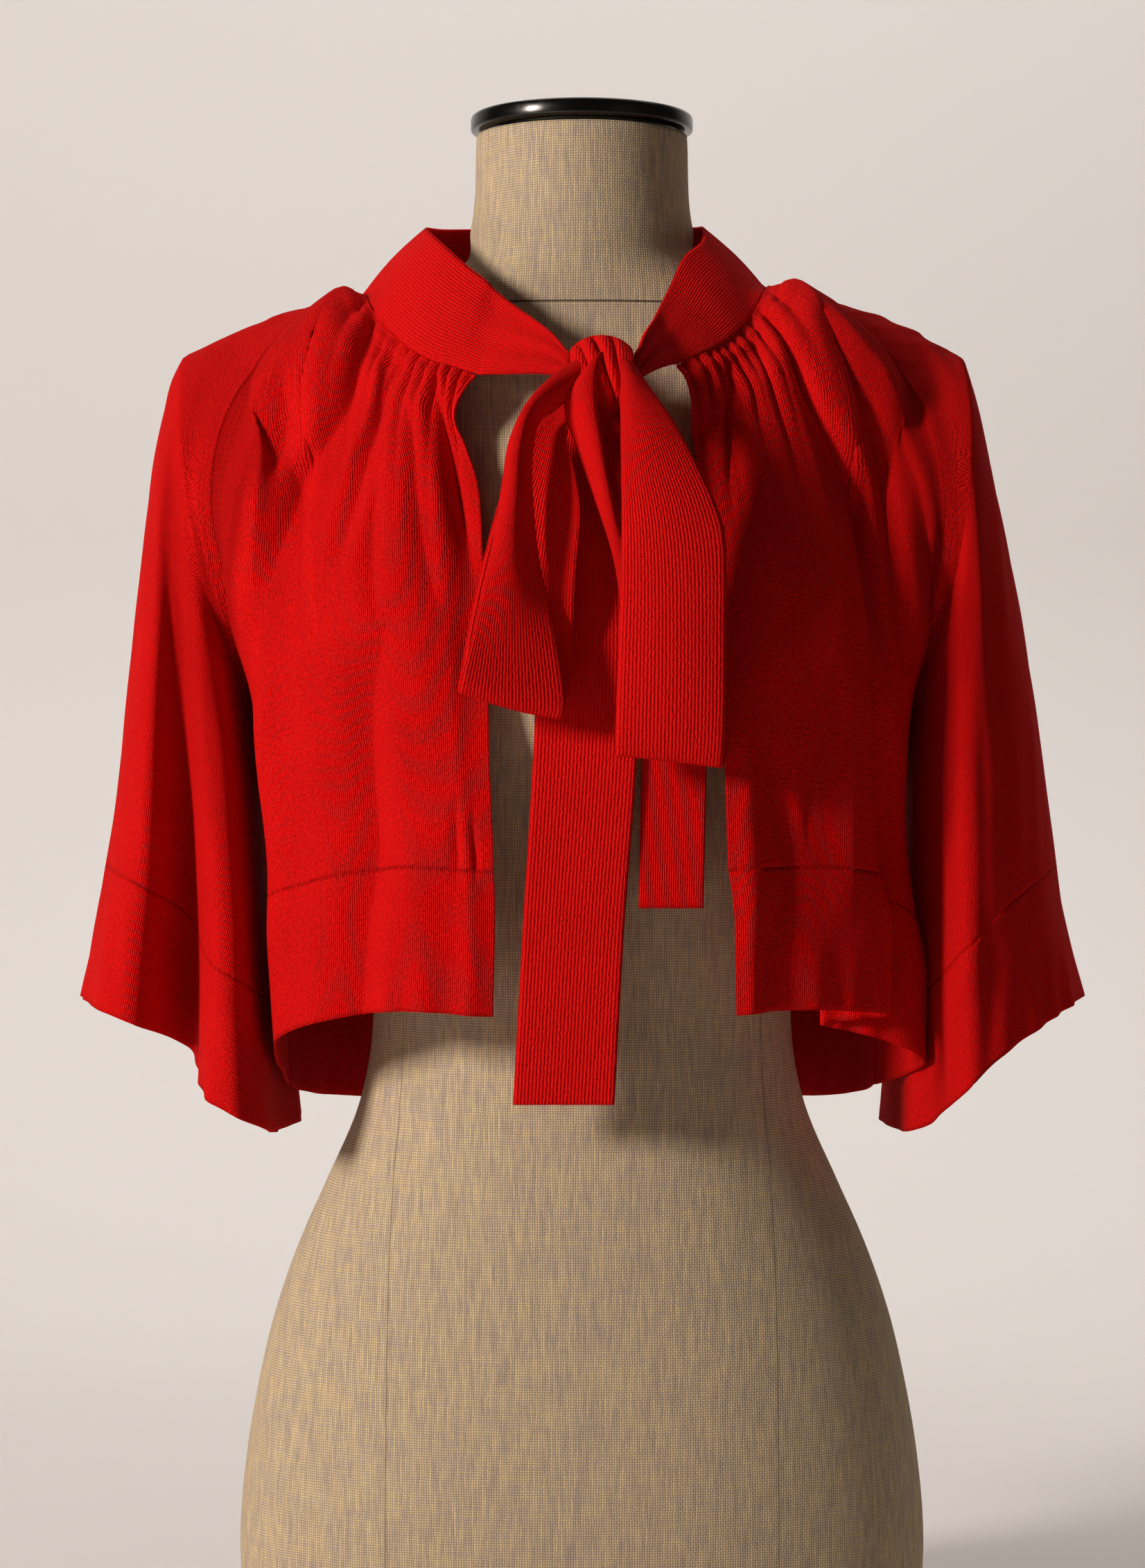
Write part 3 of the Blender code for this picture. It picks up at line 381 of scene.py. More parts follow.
def formLevel(points):
    # below 0 inside the form, 0 on it and above 0 outside
    size = [np.interp(points[..., 2], formRows[:, 0], formRows[:, i]) for i in range(1, 5)]
    depth = np.where(points[..., 1] < 0, size[1], size[2])
    total = np.abs(points[..., 0] / size[0]) ** size[3] + np.abs(points[..., 1] / depth) ** size[3]
    return total ** (1 / size[3]) - 1


def keepClear(points, least):
    # moves points out so that they lie at least this far from the form
    points = points.copy()
    soft, reach, most = 0.8, 4, 8  # softness, range and limit of one push
    for _ in range(6):
        level = formLevel(points)
        slope = np.zeros(points.shape)
        for axis in range(3):
            step = np.zeros(3)
            step[axis] = 0.5
            slope[..., axis] = formLevel(points + step) - formLevel(points - step)
        distance = level / np.maximum(np.linalg.norm(slope, axis=-1), 1e-6)
        wanted = least + np.log1p(np.exp(np.clip((distance - least) / soft, -40, 40))) * soft
        push = np.clip(np.where(distance < least + reach, wanted - distance, 0), 0, most)
        points = points + unit(slope) * push[..., None]
    return points


def easedClear(points, least, held="end"):
    # keeps clear of the form with a push that fades out round each touching place
    fade, rounds, blurs = 12, 4, 50
    along = np.arange(points.shape[0])
    hold = smoothStep(along[::-1] / fade) * (smoothStep(along / fade) if held == "both" else 1)
    hold = hold[:, None] * smoothStep(np.arange(points.shape[1]) / fade)[None, :]
    for _ in range(rounds):
        shift = (keepClear(points, least) - points) * hold[..., None]
        for _ in range(blurs):
            wide = np.pad(shift, ((1, 1), (1, 1), (0, 0)), "edge")
            beside = wide[:-2, 1:-1] + wide[2:, 1:-1] + wide[1:-1, :-2] + wide[1:-1, 2:]
            shift = (shift + beside / 4) / 2
        points = points + shift * hold[..., None]
    return keepClear(points, least)


def makeForm():
    heights = np.unique(np.concatenate([np.linspace(*part) for part in form["rows"]]))
    angles = np.linspace(-180, 180, form["around"] + 1)
    x, y = ring(curve(formRows, heights), angles[:, None])
    points = np.stack(np.broadcast_arrays(x, y, heights[None, :]), axis=-1)
    # the weave is measured round the form from the middle of its front, and up from its bottom
    arc = lengthsAlong(points)
    arc = arc - arc[len(angles) // 2]
    bm = gridMesh(points, {"cloth": (arc * mm, heights * mm)}, closed=True)
    rims = [e for e in bm.edges if e.is_boundary]
    bmesh.ops.holes_fill(bm, edges=rims, sides=0)
    for face in bm.faces:
        if len(face.verts) > 4:
            face.smooth = False
    bmesh.ops.recalc_face_normals(bm, faces=bm.faces)
    dress(makeObject("dress_form", bm, formCloth), "form_body")


def makeCap():
    top, radius = form["capTop"], form["capRadius"]
    rows = [
        (49.5, form["top"] + 0.3), (50, form["top"] + 2.2), (radius - 1.0, form["top"] + 2.6),
        (radius - 0.25, form["top"] + 3.1), (radius, form["top"] + 4.0), (radius, top - 2.4),
        (radius - 0.5, top - 1.1), (radius - 1.6, top - 0.35), (radius - 3.2, top), (0, top),
    ]
    bm = bmesh.new()
    verts = [bm.verts.new((r * mm, 0, z * mm)) for r, z in [(0, rows[0][1])] + rows]
    edges = [bm.edges.new(pair) for pair in zip(verts, verts[1:])]
    bmesh.ops.spin(
        bm, geom=verts + edges, cent=(0, 0, 0), axis=(0, 0, 1), angle=2 * math.pi, steps=form["capSteps"],
        use_merge=True,
    )
    bmesh.ops.remove_doubles(bm, verts=bm.verts, dist=0.00001)
    bmesh.ops.recalc_face_normals(bm, faces=bm.faces)
    for face in bm.faces:
        face.smooth = True
    piece = makeObject("neck_cap", bm, capMetal)
    edge = piece.modifiers.new("edge", "EDGE_SPLIT")
    edge.split_angle = math.radians(50)
    dress(piece, "form_cap")


makeForm()
makeCap()
print("stage: dress form")

# shape of the jacket, with sections as on the form
clothSections = [
    (280, 150, 122, 118, 2.5), (350, 151.5, 126, 117, 2.4), (420, 155, 129, 115, 2.3),
    (490, 160, 130, 113, 2.3), (540, 163, 128, 112, 2.3), (600, 170, 119, 110, 2.3),
    (660, 178, 103, 100, 2.3), (715, 178, 84, 84, 2.3),
]
# angles from the middle of the front: place, then right and left front
frontAngles = [
    (0.0, 14.2, 19.5), (0.28, 30.0, 33.0), (neckShare, 47.0, 49.0), (0.75, 60.0, 61.0), (0.87, 72.0, 72.5),
    (0.94, 81.5, 82.0), (1.0, 92.6, 92.6),
]
backAngles = [(0.0, 0.0), (0.28, 22.0), (0.56, 45.0), (0.76, 60.0), (0.88, 71.0), (0.94, 79.0), (1.0, 87.2)]
# angle and height of the hem
hemLine = [
    (0, 352), (12, 351), (35, 353), (46, 350), (56, 344), (66, 336), (78, 322), (93, 308), (112, 300),
    (135, 295), (180, 290),
]
# top edges: place along the edge, x outwards, y and z
neckFront = {
    "right": [
        (0.0, 50, -100, 662), (0.18, 62, -94.5, 666.5), (0.40, 76, -87, 671.5), (0.62, 90, -72, 682),
        (0.82, 103, -48, 697), (1.0, 112, -10, 712),
    ],
    "left": [
        (0.0, 46, -100, 667), (0.20, 60, -91, 674), (0.42, 70, -80, 680), (0.62, 79, -66, 689),
        (0.82, 88, -43, 702), (1.0, 94.5, -10, 714),
    ],
}
raglanFront = {
    "right": [
        (0.0, 112, -10, 712), (0.09, 136, -22, 694), (0.15, 155, -34, 681), (0.23, 170, -47, 663),
        (0.33, 181, -60, 635), (0.43, 184, -66, 603), (0.545, 178, -62, 568), (0.70, 168, -43, 533),
        (0.86, 163, -15, 511), (1.0, 159, 6, 503),
    ],
    "left": [
        (0.0, 94.5, -10, 714), (0.09, 124, -24, 697), (0.15, 146, -36, 683), (0.23, 164, -48, 663),
        (0.33, 176, -60, 635), (0.43, 180, -66, 603), (0.545, 177, -62, 568), (0.70, 168, -43, 533),
        (0.86, 163, -15, 511), (1.0, 159, 6, 503),
    ],
}
raglanBack = {
    "right": [
        (0.0, 98, 38, 714), (0.09, 128, 44, 701), (0.15, 149, 52, 686), (0.23, 167, 62, 663),
        (0.33, 179, 71, 632), (0.43, 183, 74, 600), (0.545, 178, 70, 565), (0.70, 168, 54, 531),
        (0.86, 163, 27, 511), (1.0, 159, 6, 503),
    ],
    "left": [
        (0.0, 84, 38, 715), (0.09, 118, 44, 702), (0.15, 142, 52, 686), (0.23, 162, 62, 663),
        (0.33, 175, 71, 632), (0.43, 180, 74, 600), (0.545, 177, 70, 565), (0.70, 168, 54, 531),
        (0.86, 163, 27, 511), (1.0, 159, 6, 503),
    ],
}
neckBack = [
    (0.0, -98, 38, 714), (0.16, -76, 64, 711), (0.32, -44, 77, 708), (0.5, -6, 81, 707),
    (0.68, 34, 77, 709), (0.84, 64, 64, 712), (1.0, 84, 38, 715),
]
# sleeves from top to cuff: place, inner x right and left, depth to the front and the back, bulge outwards
sleeveTube = [
    (0.0, 167, 167, 68, 68, 9), (0.08, 167, 167, 72, 72, 7), (0.25, 165, 167, 79, 80, 4),
    (0.5, 161.5, 166, 86, 88, 2), (0.75, 158.5, 165, 91, 92, 1), (1.0, 156.5, 164, 94, 95, 0),
]
# outer line of the sleeves: place, x right and left, z
sleeveOuter = [
    (0.0, 203, 194, 682), (0.03, 208, 197.5, 672), (0.08, 212.5, 202, 656), (0.16, 218.5, 208, 629),
    (0.25, 222.5, 214.5, 600), (0.38, 227.5, 223, 557), (0.56, 234, 233, 498), (0.72, 240, 240, 446),
    (0.86, 248, 246.5, 400), (1.0, 256.5, 257, 354),
]
innerTop, innerEnd = 496.0, 285.0  # heights of the inner seam
# cuff ring from the inner seam over the front: place, share of the half width, share of the depth
cuffRing = {
    "right": [
        (0.0, -1.0, 0.0), (0.05, -1.01, 0.34), (0.11, -0.93, 0.76), (0.155, -0.70, 0.95),
        (0.195, -0.42, 0.84), (0.24, -0.28, 0.46), (0.28, -0.20, 0.26), (0.32, 0.0, 0.36), (0.37, 0.30, 0.74),
        (0.415, 0.62, 0.68), (0.46, 0.88, 0.34), (0.5, 1.0, 0.0), (0.55, 0.92, -0.46), (0.60, 0.68, -0.84),
        (0.64, 0.40, -0.72), (0.68, 0.26, -0.42), (0.72, 0.04, -0.56), (0.77, -0.22, -0.96),
        (0.82, -0.52, -0.84), (0.86, -0.66, -0.62), (0.91, -1.06, -0.74), (0.96, -1.16, -0.42),
        (1.0, -1.0, 0.0),
    ],
    "left": [
        (0.0, -1.0, 0.0), (0.05, -0.96, 0.28), (0.10, -0.76, 0.44), (0.14, -0.68, 0.56), (0.18, -0.60, 0.80),
        (0.22, -0.44, 0.93), (0.28, -0.16, 0.88), (0.36, 0.36, 0.70), (0.44, 0.80, 0.38), (0.5, 1.0, 0.0),
        (0.56, 0.90, -0.50), (0.61, 0.66, -0.88), (0.66, 0.36, -0.78), (0.70, 0.20, -0.54),
        (0.75, -0.04, -0.72), (0.80, -0.34, -0.99), (0.86, -0.70, -0.82), (0.92, -1.08, -0.66),
        (0.97, -1.12, -0.30), (1.0, -1.0, 0.0),
    ],
}
# hem rings of the fronts, the left one with its pleat: place, outward, y
hemRing = {
    "right": [
        (0.0, 43, -123.5), (0.15, 62, -123), (0.35, 90, -119), (0.52, 114, -108), (0.66, 133, -94),
        (0.78, 147, -76), (0.86, 151, -60), (0.94, 151.5, -32), (1.0, 151, 5),
    ],
    "left": [
        (0.0, 74, -124), (0.06, 81, -124), (0.2, 101, -113), (0.4, 131, -94), (0.48, 145, -84),
        (0.53, 152, -76), (0.58, 146, -70), (0.64, 127, -70), (0.69, 119, -70), (0.74, 130, -66),
        (0.82, 152, -60), (0.88, 168, -52), (0.91, 171, -44), (0.95, 165, -26), (1.0, 151, 5),
    ],
}


def foldHeight(folds, place, drop):
    # drop is 0 at the top edge, 1 at the band's seam and 2 at the hem
    # a fold has a first and last drop, three places that its path bends through, two widths and two depths
    height = np.zeros(np.broadcast(place, drop).shape)
    for start, end, first, middle, last, before, after, depth, lowDepth in folds:
        t = np.clip((drop - start) / (end - start), 0, 1)
        path = first * (1 - t) * (1 - 2 * t) + 4 * middle * t * (1 - t) - last * t * (1 - 2 * t)
        gap = place - path
        reach = np.abs(gap) / np.where(gap < 0, before, after)
        soft = 0.3 * (end - start)
        rise = smoothStep((drop - start) / soft) if start > 0.01 else 1.0
        fall = 1 - smoothStep((drop - end + soft) / soft) if end < 1.99 else 1.0
        height = height + (depth + (lowDepth - depth) * t) * np.exp(-(reach**1.8)) * rise * fall
    return height


def creaseHeight(creases, points):
    # creases are lines seen from the front: x, z, depth, then the width to the viewer's left and right
    raised = np.zeros(points.shape[:2])
    sunk = np.zeros(points.shape[:2])
    for crease in creases:
        rows = np.array(crease, float)
        steps = lengthsAlong(rows[:, :2])
        line = curve(np.column_stack([steps, rows]), np.linspace(0, steps[-1], 26))
        best = np.full(points.shape[:2], 1e9)
        found = np.zeros(points.shape[:2])
        for a, b in zip(line, line[1:]):
            run = b[:2] - a[:2]
            across = points[..., 0] - a[0]
            up = points[..., 2] - a[1]
            t = np.clip((across * run[0] + up * run[1]) / run.dot(run), 0, 1)
            distance = np.hypot(across - t * run[0], up - t * run[1])
            leftward = run[0] * up - run[1] * across < 0
            depth, before, after = [a[i] + (b[i] - a[i]) * t for i in (2, 3, 4)]
            width = np.where(leftward, before, after) * frontPiece["narrow"]
            nearer = distance < best
            best = np.where(nearer, distance, best)
            found = np.where(nearer, depth * np.exp(-((distance / width) ** 1.45)), found)
        raised = raised + np.maximum(found, 0)
        sunk = sunk + np.maximum(-found, 0) ** 3
    return raised - sunk ** (1 / 3)


def frontTop(side, place):
    neck = curve(neckFront[side], np.clip(place / neckShare, 0, 1))
    seam = curve(raglanFront[side], np.clip((place - neckShare) / (1 - neckShare), 0, 1))
    return np.where((place < neckShare)[:, None], neck, seam)


def backTop(place):
    right = curve(raglanBack["right"], np.clip(1 - place / raglanShare, 0, 1)) * np.array([-1, 1, 1])
    neck = curve(neckBack, np.clip((place - raglanShare) / (1 - 2 * raglanShare), 0, 1))
    left = curve(raglanBack["left"], np.clip((place - 1 + raglanShare) / raglanShare, 0, 1))
    first = np.where((place < raglanShare)[:, None], right, neck)
    return np.where((place > 1 - raglanShare)[:, None], left, first)


def hang(top, angle, drop):
    # from the top edge the cloth eases into the sections within two thirds of its length
    hem = curve(hemLine, np.abs(angle))[:, 0][:, None]
    seam = hem + bandDepth
    topX, topY, topZ = [top[:, i][:, None] for i in range(3)]
    z = np.where(drop <= 1, topZ + (seam - topZ) * np.clip(drop, 0, 1), seam - bandDepth * (drop - 1))
    x, y = ring(curve(clothSections, z), angle[:, None])
    ease = np.clip((topZ - z) / np.maximum(0.66 * (topZ - seam), 60), 0, 1)
    ease = 1 - (1 - ease) ** 2
    return np.stack([topX + (x - topX) * ease, topY + (y - topY) * ease, z], axis=-1)


def gatherHeight(gathers, place, drop):
    # pleats under a gathered edge: place, length, depth, width and lean of each
    height = np.zeros(np.broadcast(place, drop).shape)
    for spot, length, depth, width, lean in gathers:
        path = spot + lean * drop
        spread = width * (1 + 1.6 * np.clip(drop / length, 0, 1))
        fade = np.exp(-((drop / length) ** 1.6))
        grow = 0.55 + 0.45 * smoothStep(drop / 0.05)
        height = height - depth * np.exp(-((np.abs(place - path) / spread) ** 1.35)) * fade * grow
    return height


frontPiece = {
    "across": 210, "down": 150, "band": 26, "lift": 10.5, "sharp": 1.45, "narrow": 0.72, "pucker": 2.6,
    "puff": 3.5, "settle": 14.0,
    "right": {
        "seed": 0.37,
        "folds": [
            (0.12, 2.0, 0.79, 0.80, 0.82, 0.060, 0.055, 10.0, 3.0),
            (0.0, 2.0, 0.14, 0.10, 0.09, 0.040, 0.040, 1.5, 1.5),
        ],
        "creases": [
            [
                (-103.2, 695.6, -1.5, 4, 6), (-105.0, 680.2, -4.5, 6, 9), (-108.9, 667.1, -6, 7, 11),
                (-114.1, 649.1, -6.2, 8, 13), (-122.0, 633.6, -5.6, 8, 14), (-132.4, 616.7, -4.6, 8, 16),
                (-139.3, 597.6, -3.8, 8, 17), (-145.1, 576.4, -2.4, 8, 17), (-149.2, 556.9, 0, 8, 15),
            ],
            [
                (-87.9, 680.2, -1.5, 3, 5), (-90.8, 664.2, -3.5, 4, 6), (-94.9, 647.4, -4.8, 5, 8),
                (-100.2, 629.7, -5, 6, 9), (-106.3, 603.1, -4.2, 6, 10), (-111.6, 581.1, -2.6, 6, 10),
                (-115.7, 564.4, 0, 6, 10),
            ],
            [
                (-144.5, 665, -0.5, 5, 5), (-142, 651, -2.4, 7, 9), (-142, 637, -3, 9, 12),
                (-145.5, 625, -2.6, 9, 13), (-151, 615, -1.2, 8, 12), (-156, 606, 0, 8, 10),
            ],
            [
                (-158, 668, 0, 14, 14), (-160, 645, 3.5, 16, 14), (-160, 612, 5, 18, 16),
                (-158, 575, 3, 18, 18), (-156, 540, 0, 18, 18),
            ],
            [
                (-70.4, 663.8, -1.5, 4, 3), (-68.5, 644.8, -5, 5, 4), (-64.8, 621.3, -6, 6, 4),
                (-60.7, 599.6, -5, 6, 5), (-56.5, 578.4, -2.5, 6, 6), (-53.8, 556.1, -0.5, 6, 8),
            ],
            [
                (-91.4, 640.3, -0.5, 6, 6), (-96, 607.6, -2, 7, 8), (-98.5, 576.9, -2.2, 8, 9),
                (-96.2, 542.9, -1.2, 8, 9), (-91.8, 516, 0, 9, 9),
            ],
            [
                (-83.4, 658.2, -0.5, 4, 4), (-80.4, 630.7, -2.2, 5, 6), (-78.1, 594.4, -2.4, 6, 7),
                (-72, 558.6, -1.4, 7, 8), (-62, 530.9, 0, 8, 8),
            ],
            [
                (-87.5, 554, 0, 12, 14), (-95.7, 527.4, -3, 14, 16), (-103.4, 493.3, -6, 17, 18),
                (-105.4, 463, -8, 20, 18), (-104.3, 432.6, -8.5, 22, 18), (-109.4, 394.5, -8, 22, 18),
                (-112.7, 348.6, -7, 20, 18),
            ],
            [
                (-59.8, 461.1, 0, 4, 4), (-60.6, 440.4, -1.6, 4, 4), (-59.9, 425.3, -1.8, 4, 4),
                (-60.2, 416, 0, 4, 4),
            ],
            [
                (-52.6, 455.5, 0, 3, 3), (-52.3, 436.6, -1.4, 3, 3), (-51.2, 423.4, -1.6, 3, 3),
                (-51.5, 416, 0, 3, 3),
            ],
        ],
        "gathers": [
            (0.030, 0.10, 1.8, 0.010, 0.00), (0.075, 0.22, 2.4, 0.011, -0.02),
            (0.120, 0.14, 2.0, 0.010, 0.01), (0.170, 0.20, 2.4, 0.011, -0.03),
            (0.215, 0.12, 1.9, 0.010, 0.00), (0.262, 0.20, 2.5, 0.011, 0.01),
            (0.305, 0.10, 1.8, 0.010, -0.01), (0.352, 0.18, 2.4, 0.011, -0.03),
            (0.400, 0.16, 2.1, 0.010, 0.00), (0.448, 0.20, 2.3, 0.011, -0.02),
            (0.495, 0.15, 2.0, 0.010, 0.00),
        ],
    },
    "left": {
        "seed": 0.81,
        "folds": [
            (0.0, 2.0, 0.10, 0.08, 0.07, 0.040, 0.040, 1.0, 1.5),
        ],
        "creases": [
            [
                (68.8, 674.9, -1, 3, 3), (70.4, 650.5, -3.5, 4, 4), (71.2, 626.2, -3.5, 4, 5),
                (72.2, 602.2, -2, 5, 6), (73.7, 580.1, 0, 5, 6),
            ],
            [
                (92.9, 695.2, -1, 3, 3), (99.1, 675.2, -3, 4, 4), (106.6, 657.9, -5, 6, 5),
                (114.7, 641.1, -6, 9, 6), (124.4, 621.1, -6.5, 12, 7), (131.5, 601.1, -6.5, 14, 9),
                (136.5, 578.6, -6, 15, 10), (139.8, 554.5, -4.5, 15, 11), (143, 528.7, -2, 15, 12),
                (144, 501.7, 0, 15, 12),
            ],
            [
                (116.4, 692, -1, 4, 4), (124.7, 676.1, -2.8, 6, 6), (133.8, 655.1, -3.6, 8, 8),
                (142.2, 629.3, -4.2, 9, 9), (147.6, 605.2, -5, 9, 9), (150.4, 582.6, -5.4, 9, 8),
                (152.3, 558.6, -4.5, 9, 8), (153.5, 535, -2.5, 9, 8), (154, 515, 0, 8, 8),
            ],
            [
                (154, 639.3, 0, 8, 6), (163.6, 620.3, -2.5, 8, 6), (169.5, 595.8, -4, 9, 6),
                (171, 571.9, -4, 9, 6), (171.5, 546.6, -2, 9, 6), (171.5, 526.1, 0, 8, 6),
            ],
            [
                (59.1, 675.8, -1, 3, 3), (60.4, 661, -2.4, 3, 3), (62.5, 644.5, -1.5, 4, 4),
                (64.2, 627.9, 0, 4, 4),
            ],
            [
                (94.1, 525.9, 0, 10, 10), (91.1, 497.1, -2, 12, 12), (94, 458.7, -3, 14, 12),
                (102, 424, -2.5, 14, 12), (94.2, 381.7, -3.5, 14, 14), (94.2, 352.9, -3.5, 14, 14),
            ],
            [
                (120, 526.4, 0, 8, 8), (119.9, 493.5, -2, 8, 8), (111.9, 466.4, -2, 10, 8),
                (109.9, 427.8, -1, 10, 10), (110, 414.3, 0, 8, 8),
            ],
            [
                (129.2, 487.8, 0, 8, 8), (130.3, 458.6, 1.5, 9, 9), (131.5, 427.4, 1.5, 9, 9),
                (130.6, 390.4, 0, 9, 9),
            ],
        ],
        "gathers": [
            (0.028, 0.20, 2.2, 0.011, 0.01), (0.080, 0.12, 1.8, 0.010, 0.00), (0.130, 0.24, 2.4, 0.012, 0.02),
            (0.180, 0.14, 2.0, 0.010, 0.00), (0.232, 0.20, 2.3, 0.011, -0.01),
            (0.280, 0.10, 1.7, 0.010, 0.00), (0.330, 0.24, 2.4, 0.012, 0.00),
            (0.384, 0.16, 2.1, 0.010, -0.01), (0.436, 0.20, 2.3, 0.011, 0.00),
            (0.490, 0.14, 2.0, 0.010, -0.01),
        ],
    },
}


def ripples(points, drop, seed):
    # shallow unevenness of soft cloth, livelier at the free hem
    x, y, z = [points[..., i] for i in range(3)]
    around = np.hypot(x, y) * np.arctan2(x, -y)
    waves = 0.35 * np.sin(around / 7.1 + z / 31 + 9 * seed) * np.sin(z / 23 - around / 47 + 5 * seed)
    waves = waves + 0.30 * np.sin(around / 4.3 - z / 52 + 17 * seed) * np.sin(z / 37 + 3 * seed)
    hem = 0.9 * np.sin(around / 5.7 + 2.2 * np.sin(around / 23 + 7 * seed)) * np.clip(drop - 1, 0, 1) ** 3
    return (waves + hem) * smoothStep(drop / 0.08)


def ringed(side, points, place, drop):
    # carries the shape of the hem ring up into the panel
    place = np.broadcast_to(place, points.shape[:2])
    reading = place
    if side == "left":
        # the pleat lies farther ahead at its top
        ahead = np.clip(1 - drop / 1.3, 0, 1) ** 1.5
        away = smoothStep((1 - place) / 0.05)
        reading = np.clip(place + 0.10 * ahead * smoothStep((place - 0.2) / 0.3) * away, 0, 1)
    wanted = curve(hemRing[side], reading)
    flat = np.empty(points.shape[:2] + (2,))
    for axis in (0, 1):
        for column in range(points.shape[1]):
            flat[:, column, axis] = np.interp(reading[:, column], place[:, -1], points[:, -1, axis])
    share = smoothStep((drop - 0.10) / 1.3)
    moved = points.copy()
    moved[..., :2] += (wanted - flat) * np.broadcast_to(share, points.shape[:2])[..., None]
    return moved


def sided(points, side):
    return points * np.array([-1, 1, 1]) if side == "right" else points


def frontPoints(side, place, drop):
    place = place[:, None]
    drop = drop[None, :]
    look = frontPiece[side]
    angle = curve(frontAngles, place[:, 0])[:, 0 if side == "right" else 1]
    points = hang(frontTop(side, place[:, 0]), angle, drop)
    if side == "right":
        # the free edge curls back a little below the neckline
        curl = 9 * np.exp(-(((points[..., 2] - 637) / 20) ** 2)) * np.clip(1 - place / 0.12, 0, 1) ** 1.5
        points[..., 0] += curl
    points = easedClear(ringed(side, points, place, drop), clothClear)
    normals = seamNormals(points, drop[0])
    normals = normals * np.sign(-normals[..., 1:2].mean())
    height = creaseHeight(look["creases"], sided(points, side)) * smoothStep(drop / 0.04)
    height = height * frontPiece["sharp"]
    height = height + foldHeight(look["folds"], place, drop)
    height = height + gatherHeight(look["gathers"], place, drop) * frontPiece["pucker"]
    # fullness over the bust and right below the gathers, none at the side seam
    bySide = smoothStep((1 - place) / 0.08)
    lift = frontPiece["lift"] * smoothStep(drop / 0.12) * (1 - smoothStep((drop - 0.45) / 0.5))
    puff = frontPiece["puff"] * smoothStep(drop / 0.025) * np.exp(-((drop / 0.3) ** 2))
    puff = puff * (1 - smoothStep((place - 0.45) / 0.2))
    height = (height + puff + lift * smoothStep((1 - place) / 0.32)) * bySide
    # the free edge lies close to the body
    near = np.exp(-((place / 0.16) ** 2)) * smoothStep((drop - 0.03) / 0.12)
    near = near * (1 - smoothStep((drop - 0.55) / 0.35))
    height = height - frontPiece["settle"] * near
    height = height + ripples(points, drop, look["seed"]) * bySide
    return easedClear(points + normals * height[..., None], clothClear), points


def levelLength(points):
    # length along each row of points as seen from above, so that the wales hang plumb
    return lengthsAlong(points[..., :2])


def makeFronts():
    across = frontPiece["across"]
    place = np.linspace(0, 1, across + 1)
    raglan = np.arange(across + 1) >= int(neckShare * across) + 2
    for side in ("right", "left"):
        points, plain = [sided(p, side) for p in frontPoints(side, place, dropRows(frontPiece, 1.15))]
        readings = (levelLength(plain) * mm, columnLengths(plain) * mm)
        nodes = ("front_" + side, "hem_band_" + side)
        piece, hem = panelAndBand(nodes, frontPiece, points, readings, plain, raglan)


backPiece = {
    "across": 260, "down": 110, "band": 22, "seed": 0.59,
    "folds": [
        (0.25, 2.0, 0.22, 0.18, 0.14, 0.035, 0.035, 5.0, 6.5),
        (0.08, 1.60, 0.30, 0.28, 0.26, 0.030, 0.030, -5.0, -6.5),
        (0.12, 2.0, 0.38, 0.37, 0.37, 0.035, 0.035, 5.0, 6.5),
        (0.06, 1.80, 0.47, 0.47, 0.46, 0.030, 0.030, -6.0, -7.8),
        (0.10, 1.30, 0.54, 0.55, 0.56, 0.032, 0.032, 4.5, 5.9),
        (0.08, 2.0, 0.61, 0.64, 0.67, 0.034, 0.034, -5.5, -7.2),
        (0.20, 2.0, 0.70, 0.74, 0.78, 0.035, 0.035, 5.5, 7.2),
    ],
}


def backGathers():
    spots = np.linspace(0.235, 0.765, 22)
    lengths = [0.12, 0.26, 0.15, 0.34, 0.12, 0.20, 0.30, 0.14, 0.24, 0.11, 0.32]
    depths = [1.8, 2.5, 2.0, 2.9, 1.9, 2.3, 2.7, 2.0, 2.4, 1.8, 2.8]
    rows = []
    for i, spot in enumerate(spots):
        shift = 0.004 * math.sin(2.3 * i)
        rows.append((spot + shift, lengths[i % 11], depths[i % 11], 0.0062, 0.01 * math.sin(1.7 * i)))
    return rows


def bothEnds(place):
    # nothing at the two side seams and all of it a little away from them
    return smoothStep(place / 0.06) * smoothStep((1 - place) / 0.06)


def makeBack():
    place = np.linspace(0, 1, backPiece["across"] + 1)[:, None]
    drop = dropRows(backPiece, 1.15)[None, :]
    out = np.abs(place[:, 0] - 0.5) * 2
    signed = (180 - curve(backAngles, out)[:, 0]) * np.where(place[:, 0] < 0.5, -1, 1)
    plain = easedClear(hang(backTop(place[:, 0]), signed, drop), clothClear, "both")
    normals = seamNormals(plain, drop[0])
    normals = normals * np.sign(normals[..., 1:2].mean())
    height = foldHeight(backPiece["folds"], place, drop) + gatherHeight(backGathers(), place, drop)
    height = (height + ripples(plain, drop, backPiece["seed"])) * bothEnds(place)
    u = levelLength(plain)
    readings = ((u - u[len(u) // 2]) * mm, columnLengths(plain) * mm)
    points = easedClear(plain + normals * height[..., None], clothClear, "both")
    raglan = (place <= raglanShare - 0.01) | (place >= 1 - raglanShare + 0.01)
    piece, hem = panelAndBand(("back", "hem_band_back"), backPiece, points, readings, points, raglan)


makeFronts()
makeBack()
print("stage: body of the jacket")

